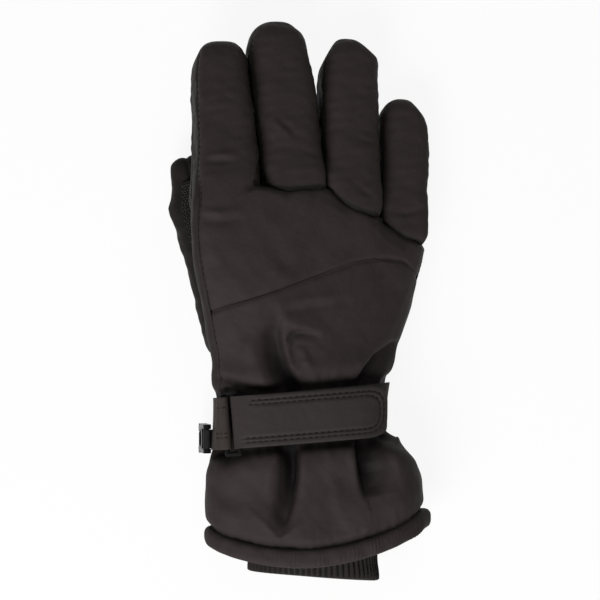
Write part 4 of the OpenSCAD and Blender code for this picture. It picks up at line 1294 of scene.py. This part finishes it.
class GLOVE_OT_fingers(bpy.types.Operator):
    """Sew the fingers as padded tubes that tuck in under the edge of the hand"""

    bl_idname = "glove.fingers"
    bl_label = "Fingers"

    def execute(self, context):
        for name in ("middle", "ring", "little"):
            self.finger(name)
        self.index_rest()
        return {"FINISHED"}

    def finger(self, name):
        stall = STALLS[name]
        phi = np.linspace(-180, 180, 180, endpoint=False)[:, None]
        s = mix(TUCK, stall.end() - 0.4, np.linspace(0, 1, 170))[None] + 0 * phi
        p = stall.surface(phi, s)
        gap = p[..., 1] - knuckle_seam_y(p[..., 0])
        up = smooth(facing(p, True)[..., 2] / 0.5)
        base = up * (0.4 * bell(gap - 7, 5) - 0.5 * beside(gap, 1.0) - 2.6 * smooth(-gap / 3))
        p = stall.surface(phi, s, finger_swell(stall, phi, s, p, base))
        self.stitch(name, stall, p, phi[:, 0], s[0])
        # Painted shade on the finger's sides and in the groove of its base seam
        under = 1 - stall.across(phi, s)[1] / stall.r
        left, right = smooth((under - 0.06) / 0.5), smooth((under - 0.5) / 0.15)
        shade = np.where(phi < 0, LEFT_SHADE[name] * left, RIGHT_SHADE * right)
        shade = shade * smooth((stall.straight + 6 - s) / 8)
        painted_shade = np.maximum(up * 0.85 * beside(gap, 1.1), shade)
        piece = thicken(sew(name + "_finger", p, "shell", wrap=True, tip=True, painted_shade=painted_shade))
        back = name + ("_back" if name == "middle" else "_back_panel")
        rest = [name + part for part in ("_sides", "_palm", "_padding", "_lining")]
        attach(piece, "shell", name + "_finger", back, *rest, soft=True)

    def stitch(self, name, stall, p, phi, s):
        """A row of stitches beside the finger's upper left seam."""
        rows = np.nonzero((s > 8) & (s < stall.straight + stall.tip * 0.5))[0]
        left = np.nonzero((phi > -90) & (phi < 0))[0]
        aside = 180 * STITCH_ASIDE / stall.r / math.pi / 2
        n = facing(p, True)
        line, out = [], []
        for k in rows:
            at = np.interp(SEAM_HIGH * stall.r, stall.across(phi[left], s[k])[1], left) + aside
            i, t = int(at), at - int(at)
            line.append(mix(p[i, k], p[i + 1, k], t))
            out.append(n[i, k])
        row = stitches(name + "_stitches", [(np.array(line), np.array(out))])
        attach(row, "shell", name + "_finger")

    def index_rest(self):
        """Right side and underside of the index finger, between its two long seams."""
        stall = STALLS["index"]
        phi = np.linspace(BACK_HALF, 360 - SIDE_END, 110)[:, None]
        s = mix(TUCK, stall.end() - 0.1, np.linspace(0, 1, 150))[None] + 0 * phi
        rise = finger_swell(stall, phi, s, stall.surface(phi, s))
        share = np.stack([smooth((84 - phi) / 22), *[smooth((118 - phi) / 56)] * 2], -1)
        p = stall.surface(phi, s, rise) + index_web(s) * share
        piece = thicken(sew("index_underside", turn_in(p, facing(p), INDEX_FLAP), "shell"))
        attach(piece, "shell", "index_finger", "index_palm", "index_padding", "index_lining", soft=True)


class GLOVE_OT_thumb(bpy.types.Operator):
    """Sew the thumb with its dotted grip patch"""

    bl_idname = "glove.thumb"
    bl_label = "Thumb"

    def execute(self, context):
        stall = THUMB_STALL
        phi = np.linspace(-180, 180, 150, endpoint=False)[:, None]
        s = mix(-stall.r * 0.97, stall.end() - 0.4, np.linspace(0, 1, 170))[None] + 0 * phi
        p = stall.surface(phi, s)
        side = np.abs(np.sin(np.radians(phi))) * stall.outline(s)[0]
        rise = seam_pull(side, 0.8)
        rise = rise + 0.45 * ripples(p, 20, 31) + 0.25 * ripples(p, 8, 32, (0.6, 1.4, 1))
        p = self.shaped(stall.surface(phi, s, rise), phi)
        piece = thicken(sew("thumb", p, "palm", wrap=True, tip=True, tail=True))
        nodes = ("thumb_back", "thumb_palm", "thumb_padding", "thumb_lining")
        attach(piece, "palm_cloth", "thumb", *nodes, soft=True)
        self.grip()
        return {"FINISHED"}

    def shaped(self, p, phi):
        """Draws the thumb's outer side to the angular line that its cloth takes."""
        out = p.copy()
        out[..., 1] += 1.6 * smooth((p[..., 1] - 58) / 14)
        move = np.interp(out[..., 1], *THUMB_EDGE)
        out[..., 0] += move * smooth(-np.sin(np.radians(phi)) * 1.4)
        return out

    def grip(self):
        stall = THUMB_STALL
        phi = np.linspace(-32, 130, 90)[:, None]
        s = stall.straight * np.linspace(0.5, 0.99, 60)[None] + 0 * phi
        rise = GRIP_RISE + 0.15 * ripples(stall.surface(phi, s), 9, 33)
        grip_patch("thumb", self.shaped(stall.surface(phi, s, rise), phi), "thumb", 1.5)


def dotted(name, p, margin):
    """Raised rubber dots in staggered rows over a grid of points."""
    pitch = settings().dots / MM
    uv = arc_map(p, False) / MM
    n = facing(p)
    wide, high = uv[-1, 0, 0] - uv[0, 0, 0], uv[0, -1, 1] - uv[0, 0, 1]
    dome = [(1.0, 0.0), (0.86, 0.5), (0.5, 0.86)]
    around = 8
    turns = np.arange(around) * math.pi / 4
    size, rise, sink = pitch * 0.34, 0.55, 0.05
    apart = pitch * 0.87
    solids = []
    for row in range(int((high - 2 * margin) / apart) + 1):
        for col in range(int((wide - 2 * margin) / pitch) + 1):
            i = int((margin + (col + 0.5 * (row % 2)) * pitch) / wide * (p.shape[0] - 1))
            j = int((margin + row * apart) / high * (p.shape[1] - 1))
            if i >= p.shape[0] - 1 or j >= p.shape[1] - 1:
                continue
            at, up = p[i, j], n[i, j]
            step = unit(p[i + 1, j] - p[i, j])
            side = np.cross(up, step)
            spread = step * np.cos(turns)[:, None] + side * np.sin(turns)[:, None]
            rings = [at + spread * share * size + up * (lift * rise - sink) for share, lift in dome]
            solids.append(np.concatenate([*rings, [at + up * (rise - sink)]]))
    top = around * (len(dome) - 1)
    cap = [[top + k, top + (k + 1) % around, top + around] for k in range(around)]
    walls = tube(len(dome), around)[:, [0, 3, 2, 1]].tolist()
    return copies(name, solids, walls + cap + [list(range(around - 1, -1, -1))], "grip")


def grip_patch(name, p, body, margin):
    """A sewn patch with its dots, which keep a margin from its edge."""
    patch = thicken(sew(name + "_grip", turn_in(p, facing(p), PATCH_FLAP), "palm"))
    attach(patch, "grip", body, name + "_grip")
    attach(dotted(name + "_dots", p, margin), "grip", body)


class GLOVE_OT_palm_grip(bpy.types.Operator):
    """Sew the dotted patch on the palm"""

    bl_idname = "glove.palm_grip"
    bl_label = "Palm grip"

    def execute(self, context):
        turn = np.linspace(338, 270, 80)[:, None]
        y = np.linspace(-14, 24, 60)[None]
        p = skin(y + 0 * turn, turn + 0 * y)
        p = lifted(p, facing(p), GRIP_RISE + 0.12 * ripples(p, 14, 41))
        grip_patch("palm", p, "hand", 2.0)
        return {"FINISHED"}


class GLOVE_OT_gauntlet(bpy.types.Operator):
    """Sew the gauntlet, its rolled hem and its lining"""

    bl_idname = "glove.gauntlet"
    bl_label = "Gauntlet"

    def execute(self, context):
        self.shell()
        self.hem()
        self.lining()
        return {"FINISHED"}

    def shell(self):
        turn = np.linspace(270, -90, 380, endpoint=False)[:, None]
        y = mix(hem_y(turn) + 2.0, float(WRIST_Y), np.linspace(0, 1, 96)[None])
        p = skin(y, turn + 0 * y)
        n = facing(p, True)
        up = upward(n)
        rise = folded(p, CUFF_FOLDS) * up
        for at in (180, -11):
            rise = rise + seam_pull(line_gap(p, skin(np.linspace(-130, WRIST_Y, 40), at)))
        past = strap_edge_gap(p)
        rise = rise + up * (2.0 * bell(past - 10, 8) - 2.6 * beside(past - 0.5, 3.2))
        shoulder = bell(turn - 38, 22) + 0.8 * bell(turn - 142, 22)
        rise = rise + 2.4 * shoulder * smooth((-70 - y) / 10) * smooth((y - hem_y(turn) - 10) / 12)
        rise = rise + 4.4 * bell(turn - 6, 26) * bell(y + 71.5, 4.5)
        rise = rise + (1 - up) * (1.2 * bell(y + 80, 14) - 1.2 * bell(y - WRIST_Y, 5))
        gather = np.sin(p[..., 0] * 1.0 + 2.4 * ripples(p, 24, 51)) * np.exp(-np.maximum(past, 0) / 7)
        rise = rise + 0.22 * gather
        to_hem = p[..., 1] - (hem_y(turn) + HEM_WIDTH)
        rise = rise - 2.4 * beside(to_hem, 2.4)
        pucker = np.sin(arc_map(p, True)[:-1, :, 0] / MM * 1.15 + 3 * ripples(p, 30, 52))
        rise = rise + 0.14 * pucker * np.exp(-np.maximum(to_hem, 0) / 6)
        rise = rise + 0.6 * ripples(p, 30, 53) + 0.2 * ripples(p, 10, 54)
        rise = sunk(rise, CUFF_WALL - 0.7 + fold_room(y))
        # Painted shade in the deep folds, in the groove above the hem and along the strap's edges
        painted_shade = np.maximum(creased(p, n, CUFF_FOLDS), 0.5 * beside(to_hem, 1.6))
        painted_shade = np.maximum(painted_shade, 0.6 * up * beside(past - 0.5, 2.2))
        piece = thicken(sew("gauntlet", lifted(p, n, rise), "shell", wrap=True, painted_shade=painted_shade))
        nodes = ("gauntlet_back", "gauntlet_palm", "gauntlet_padding")
        attach(piece, "shell", "hand", *nodes, soft=True)

    def hem(self):
        """A rolled band whose cloth is gathered into fine ripples."""
        turn = np.linspace(270, -90, 720, endpoint=False)[:, None]
        f = np.linspace(0, 2 * math.pi, 44, endpoint=False)[None]
        c, q = np.cos(f), np.sin(f)
        y = hem_y(turn) + HEM_WIDTH - HEM_HALF - 0.4 + HEM_HALF * np.sign(c) * np.abs(c) ** 0.75
        depth = 2.3 - 2.0 * bell(turn + 4, 16) - HEM_THICK * np.sign(q) * np.abs(q) ** 0.8
        base = skin(y, turn + 0 * f, depth)
        run = arc_map(base, True)[:-1, :, 0] / MM
        fine = np.sin(run * 3.3 + 2.5 * ripples(base, 16, 61))
        slow = ripples(base, 11, 62)
        out = smooth((q + 0.3) / 0.8)
        p = skin(y, turn + 0 * f, depth - out * (0.12 * fine * (0.5 + slow) + 0.32 * slow))
        piece = sew("hem", np.concatenate([p, p[:, :1]], 1)[:, ::-1], "shell", wrap=True)
        attach(piece, "binding", "hand", "hem_binding", soft=True)

    def lining(self):
        """Inner sleeve that closes on the knit at the wrist."""
        turn = np.linspace(-90, 270, 200, endpoint=False)[:, None]
        v = np.linspace(0, 1, 60)[None]
        y = mix(hem_y(turn) + 3, -74.0, v)
        deep = CUFF_WALL + 0.3 + 14 * smooth((v - 0.72) / 0.28)
        p = skin(y, turn + 0 * y, deep)
        n = facing(p, True)
        p = lifted(p, n, 0.4 * ripples(p, 24, 71) + 0.2 * ripples(p, 9, 72))
        p[..., 2] -= upward(-n) * np.clip(-folded(p, CUFF_FOLDS) - 1.0, 0, fold_room(y))
        piece = thicken(sew("gauntlet_lining", p, "lining", wrap=True))
        attach(piece, "lining", "hand", "gauntlet_lining")


class GLOVE_OT_knit(bpy.types.Operator):
    """Knit the ribbed cuff and the lining of the hand that it leads to"""

    bl_idname = "glove.knit"
    bl_label = "Knit cuff"

    def execute(self, context):
        self.cuff()
        self.lining()
        return {"FINISHED"}

    def knit_section(self, y):
        """Sections that follow the hand at the wrist and turn to a plain tube at the cuff's end."""
        s = section(np.maximum(y, -72.0))
        t = smooth((-72 - y) / 34)
        wall = HAND_WALL + 0.2
        out = s.copy()
        for at, from_hand, end in (
            (1, s[..., 1], 6.5), (2, s[..., 2] - wall, 32), (3, s[..., 3], 24.05),
            (4, s[..., 4] - wall, 12.5), (5, s[..., 5] - wall, 12.5), (7, s[..., 7], 0),
        ):
            out[..., at] = mix(from_hand, end, t)
        out[..., 6] = 2.4
        return out

    def cuff(self):
        sizes = settings()
        count, rib = sizes.ribs, sizes.rib_depth / MM
        turn = np.linspace(270, -90, count * 10, endpoint=False)[:, None]
        end = KNIT_END - KNIT_SLANT * np.cos(np.radians(turn))
        down = np.linspace(0, 1, 46)
        lip = np.linspace(0, math.pi, 12)[1:-1]
        fold = end - KNIT_WALL / 2 * np.sin(lip)[None] + 0 * turn
        outside, inside = mix(KNIT_START, end, down[None]), mix(end, KNIT_START, down[None])
        y = np.concatenate([outside, fold, inside], 1)
        depth = np.concatenate([0 * down, KNIT_WALL / 2 * (1 - np.cos(lip)), 0 * down + KNIT_WALL])[None]
        side = np.concatenate([0 * down + 1, np.cos(lip), 0 * down - 1])[None]
        s = self.knit_section(y)
        base = round_at(s, y, turn, depth)
        wave = np.cos(np.linspace(0, 2 * math.pi * count, count * 10, endpoint=False))[:, None]
        shape = np.sign(wave) * np.abs(wave) ** 0.7
        slack = 0.5 * ripples(base, 26, 81)
        edge = 1.2 * bell(y - end, 5)
        p = round_at(s, y, turn, depth - side * (shape * rib / 2 + slack + 0.3 * edge))
        piece = sew("knit_cuff", p[:, ::-1], "knit", wrap=True)
        attach(piece, "knit", "hand", "knit_cuff")

    def lining(self):
        """Sleeve that closes before the knuckles."""
        turn = np.linspace(-90, 270, 160, endpoint=False)[:, None]
        v = np.linspace(0, 1, 70)[None]
        x = skin(0 * turn + 40.0, turn)[..., 0]
        y = mix(-70.0, np.interp(x, *KNUCKLES) - 18, np.minimum(v * 1.25, 1))
        close = 1 - 0.98 * smooth((v - 0.8) / 0.2)
        p = ROOM.clear(skin(y, turn + 0 * y, HAND_WALL))
        p = mix(p.mean(0, keepdims=True), p, close[..., None])
        n = facing(p, True)
        p = p + 0.5 * n * ripples(p, 18, 91)[..., None]
        p[..., 2] -= np.clip(-folded(p, HAND_FOLDS) - 1.5, 0, 4) * upward(-n)
        piece = thicken(sew("hand_lining", p, "lining", wrap=True, tip=True))
        attach(piece, "lining", "hand", "hand_lining")


def strap_point(turn, y_off, d):
    """Point of the wrist strap at a polar angle, y_off off its middle line, d under the skin."""
    x = skin(-float(STRAP_Y) + 0 * turn, turn)[..., 0]
    return skin(strap_mid(x) + y_off, turn, d)


def strap_turn(angle):
    """Polar angle on the strap's middle line of an angle that the solids use."""
    return float(polar(np.array([-STRAP_Y]), angle)[0])


def at_ring():
    """Middle of the ring, and its ways along the wrist, across the strap and out as columns."""
    turn = strap_turn(RING_ANGLE)
    middle = strap_point(np.array([turn]), 0.0, -BAR_LIFT)[0]
    behind, ahead = (skin(middle[1], turn + step, -BAR_LIFT) for step in (2, -2))
    run = ahead - behind
    tilt = math.degrees(math.atan2(run[2], run[0]))
    return middle, turned(0, -tilt, 0) @ turned(0, 0, STRAP_TILT)


class GLOVE_OT_strap(bpy.types.Operator):
    """Sew the wrist strap, its base, its keeper and its hook and loop patches"""

    bl_idname = "glove.strap"
    bl_label = "Wrist strap"

    def execute(self, context):
        self.ring, self.spin = at_ring()
        self.base()
        self.patches()
        self.tab()
        self.keeper()
        refinish(context.scene.objects["strap_ring"], "matte", 0.0006)
        return {"FINISHED"}

    def base(self):
        """The lower ply, sewn at the little finger's side, with two round corners."""
        across = np.linspace(-1, 1, 60)[None] * STRAP_W / 2
        low, high = np.clip(-across - 2, 0, 11) / 11, np.clip(across - 10, 0, 3) / 3
        end = strap_turn(BASE_END) + 34 * (1 - np.sqrt(1 - low ** 2)) + 3 * (1 - np.sqrt(1 - high ** 2))
        turn = mix(122, end, np.linspace(0, 1, 150)[:, None])
        rim = 0.25 * bell(np.abs(across) - STRAP_W / 2 + 1.4, 0.5)
        top = strap_point(turn, across + 0 * turn, -BASE_TOP + rim)
        under = strap_point(turn, across + 0 * turn, -STRAP_REST + 0 * rim)
        piece = sew("strap_base", self.closed(top, under), "strap")
        attach(piece, "strap", "hand", "strap_base")

    def closed(self, top, low):
        """A closed skin of two faces of a band, its two ends drawn together."""
        ring = np.concatenate([low[:, ::-1], top, low[:, -1:]], 1)
        first, last = (
            np.repeat(((top[k:][:1] + low[k:][:1]) / 2).mean(1, keepdims=True), ring.shape[1], 1)
            for k in (0, -1)
        )
        return np.concatenate([first, ring, last])

    def patches(self):
        """The loop half on the base with its pile up, and the hook half under the tab with its pile down."""
        for name, turns, width, high, body in (
            ("strap_loop_patch", (78, TAB_END + 4), STRAP_W - 5, -BASE_TOP - 0.1 - PATCH_T, "hand"),
            ("strap_hook_patch", (62, TAB_END + 8), STRAP_W - 7, -TAB_LOW + 0.1, "strap"),
        ):
            across = np.linspace(-1, 1, 60)[None] * width / 2
            turn = np.linspace(*(strap_turn(angle) for angle in turns), 130)[:, None] + 0 * across
            across = across + 0 * turn
            pile = 0.12 * ripples(strap_point(turn, across, high), 1.6, 101)
            soft = 0.5 * bell(np.abs(across) - width / 2, 0.8)
            upper, lower = (pile, 0) if body == "hand" else (0, pile)
            top = strap_point(turn, across, high + soft + upper)
            under = strap_point(turn, across, high + PATCH_T - lower)
            piece = sew(name, self.closed(top, under), "fastener")
            attach(piece, "touch_fastener", body, name)

    def tab(self):
        """The free strap: a bordered band with a round end that turns back round the ring's bar."""
        turn = np.linspace(strap_turn(TAB_END), strap_turn(RING_ANGLE) - 8.2, 210)[::-1]
        rows = np.linspace(-1, 1, 91)
        mid = strap_point(turn, 0.0, -(TAB_LOW + TAB_TOP) / 2)
        run = run_of(mid)
        left = run[-1] - run
        u = np.clip(1 - left / TAB_ROUND, 0, 1)
        n = TAB_SQUARE
        half = np.maximum(STRAP_W / 2 * (1 - u ** n) ** (1 / n), 0.05)
        across = rows[None] * half[:, None]
        edge = (1 - (u[:, None] ** n + np.abs(across / STRAP_W * 2) ** n) ** (1 / n)) * STRAP_W / 2
        rise = self.border(edge)
        start = smooth(run / 6)[:, None]
        wave = 0.12 * np.sin(run / 9)[:, None]
        top = strap_point(turn[:, None] + 0 * across, across, -TAB_TOP - rise * start - wave)
        low = strap_point(turn[:, None] + 0 * across, across, -TAB_LOW - wave + 0 * across)
        flat = self.level(top) * (1 - smooth((run - 3) / 14))[:, None, None]
        top, low = top - flat, low - flat
        outer, inner = self.round_bar(1, (300, 100), rows[:, None] * STRAP_W / 2, STRAP_T, 0.05)
        top, low = np.concatenate([outer, top]), np.concatenate([inner, low])
        piece = sew("strap_tab", self.closed(top, low), "strap")
        attach(piece, "strap", "strap", "strap_tab")
        self.tab_seams(turn, left)

    def level(self, top):
        """How far each point stands over the middle of its row, along the ring's way out."""
        out = self.spin[:, 2]
        high = top @ out
        return np.maximum(high - high[:, high.shape[1] // 2:][:, :1], 0)[..., None] * out

    def border(self, edge):
        """Rise over the strap's face: a rolled edge, two sewn grooves and a raised field."""
        roll = -0.55 * bell(edge, 0.55)
        outer, inner = TAB_SEAMS
        grooves = -0.38 * bell(edge - outer, 0.42) - 0.34 * bell(edge - inner, 0.4)
        return roll + grooves + 0.22 * bell(edge - 3.7, 0.7) + 0.4 * smooth((edge - 4.9) / 1.6)

    def round_bar(self, side, angles, wide, thick, gap):
        """Outer and inner face of a band that turns round one of the ring's two bars."""
        bar = self.ring + self.spin @ np.array([side * RING_PITCH / 2, 0, 0])
        x, y, z = self.spin.T
        outer, inner = [], []
        for f in np.radians(np.linspace(*angles, 26)):
            way = x * math.cos(f) + z * math.sin(f)
            line = bar + wide * y
            outer.append(line + way * (BAR_HOLE + thick))
            inner.append(line + way * (BAR_HOLE + gap))
        return outer, inner

    def tab_seams(self, turn, left):
        """Two rows of stitches that follow the tab's edge round its end."""
        rows = []
        power = 2 / TAB_SQUARE
        for inset in TAB_SEAMS:
            share = 1 - inset / STRAP_W * 2
            f = np.linspace(-math.pi / 2, math.pi / 2, 60)
            end = (1 - share * np.abs(np.cos(f)) ** power) * TAB_ROUND
            y = np.sign(f) * share * STRAP_W / 2 * np.abs(np.sin(f)) ** power
            straight = np.linspace(left[8], TAB_ROUND, 80)[:-1]
            ahead = np.concatenate([straight, end, straight[::-1]])
            y = np.concatenate([y[0] + 0 * straight, y, y[-1] + 0 * straight])
            at = np.interp(ahead, left[::-1], turn[::-1])
            line = strap_point(at, y, -TAB_TOP + 0.12)
            rows.append((line, self.out_of(line)))
        attach(stitches("strap_stitches", rows), "strap", "strap")

    def out_of(self, line):
        """The way out from the middle of the wrist."""
        out = line - np.array([2.0, 0, 27.0])
        out[:, 1] = 0
        return unit(out)

    def keeper(self):
        """Webbing sewn to the wrist that turns round the ring's other bar."""
        wide = np.linspace(-1, 1, 50) * STRAP_W / 2
        tops, lows = self.round_bar(-1, (-80, 150), wide[:, None], WEBBING_T, 0.03)
        turn = np.linspace(strap_turn(RING_ANGLE) + 11, 172, 50)
        drop = smooth(np.linspace(0, 1, 50) * 2.6)
        for at, share in zip(turn, drop):
            lift = mix(BAR_LIFT + 0.4, STRAP_REST, share)
            tops.append(strap_point(at + 0 * wide, wide, -lift - WEBBING_T))
            lows.append(strap_point(at + 0 * wide, wide, -lift))
        top, low = np.array(tops), np.array(lows)
        piece = sew("ring_keeper", self.closed(top, low)[:, ::-1], "webbing")
        attach(piece, "webbing", "hand", "ring_keeper")
        rows = []
        for off in (-STRAP_W / 2 + 6.2, -STRAP_W / 2 + 8.4, STRAP_W / 2 - 5):
            k = int((off / STRAP_W + 0.5) * 49)
            rows.append((top[12:60, k], unit(top[12:60, k] - low[12:60, k])))
        attach(stitches("keeper_stitches", rows), "webbing", "hand")


class GLOVE_OT_clip(bpy.types.Operator):
    """Finish the moulded clip and sew the webbing loop that holds it"""

    bl_idname = "glove.clip"
    bl_label = "Clip"

    def execute(self, context):
        refinish(context.scene.objects["clip_body"], "plastic", 0.0009)
        refinish(context.scene.objects["clip_gate"], "plastic", 0.0006)
        self.loop()
        return {"FINISHED"}

    def loop(self):
        """Webbing round the clip's pin. Its ends stop short of the gauntlet, and the lower has no cap."""
        wide = np.linspace(-CLIP_WEB / 2, CLIP_WEB / 2, 24)[None]
        turns = np.radians(np.linspace(28, 332, 30))
        x, z = CLIP_END
        bow = np.stack([CLIP_ROUND * np.cos(turns), CLIP_ROUND * np.sin(turns)], -1)
        path = np.concatenate([[(x, z)], bow, [(x, -z)]])
        lead = np.gradient(path, axis=0)
        out = unit(np.stack([lead[:, 1], -lead[:, 0]], -1))
        faces = []
        for lift in (CLIP_HALF, -CLIP_HALF):
            side = (path + out * lift)[:, None]
            x, z = side[..., 0] + 0 * wide, side[..., 1] + 0 * wide
            faces.append(CLIP_PIN + np.stack([x, wide + 0 * x, z], -1))
        outer, inner = faces
        ring = np.concatenate([inner, outer[:, ::-1], inner[:, :1]], 1)
        end = np.repeat(ring[:1].mean(1, keepdims=True), ring.shape[1], 1)
        piece = sew("clip_loop", np.concatenate([end, ring]), "loop")
        attach(piece, "webbing", "hand", "clip_loop")


OPERATORS = (
    GLOVE_OT_stage,
    GLOVE_OT_hand,
    GLOVE_OT_fingers,
    GLOVE_OT_thumb,
    GLOVE_OT_palm_grip,
    GLOVE_OT_gauntlet,
    GLOVE_OT_knit,
    GLOVE_OT_strap,
    GLOVE_OT_clip,
)


class GLOVE_PT_panel(bpy.types.Panel):
    """Sizes, colours and pieces of the glove"""

    bl_label = "Ski glove"
    bl_idname = "GLOVE_PT_panel"
    bl_space_type = "VIEW_3D"
    bl_region_type = "UI"
    bl_category = "Glove"

    def draw(self, context):
        for group in (settings(), colours()):
            for name in group.__annotations__:
                self.layout.prop(group, name)
        for operator in OPERATORS:
            self.layout.operator(operator.bl_idname)


CLASSES = (GloveSizes, GloveColours, *OPERATORS, GLOVE_PT_panel)


def register():
    for cls in CLASSES:
        bpy.utils.register_class(cls)
    bpy.types.Scene.glove_sizes = PointerProperty(type=GloveSizes)
    bpy.types.Scene.glove_colours = PointerProperty(type=GloveColours)


def unregister():
    del bpy.types.Scene.glove_colours
    del bpy.types.Scene.glove_sizes
    for cls in reversed(CLASSES):
        bpy.utils.unregister_class(cls)


def main():
    register()
    make_finishes()
    for operator in OPERATORS:
        group, name = operator.bl_idname.split(".")
        getattr(getattr(bpy.ops, group), name)()


if __name__ == "__main__":
    main()
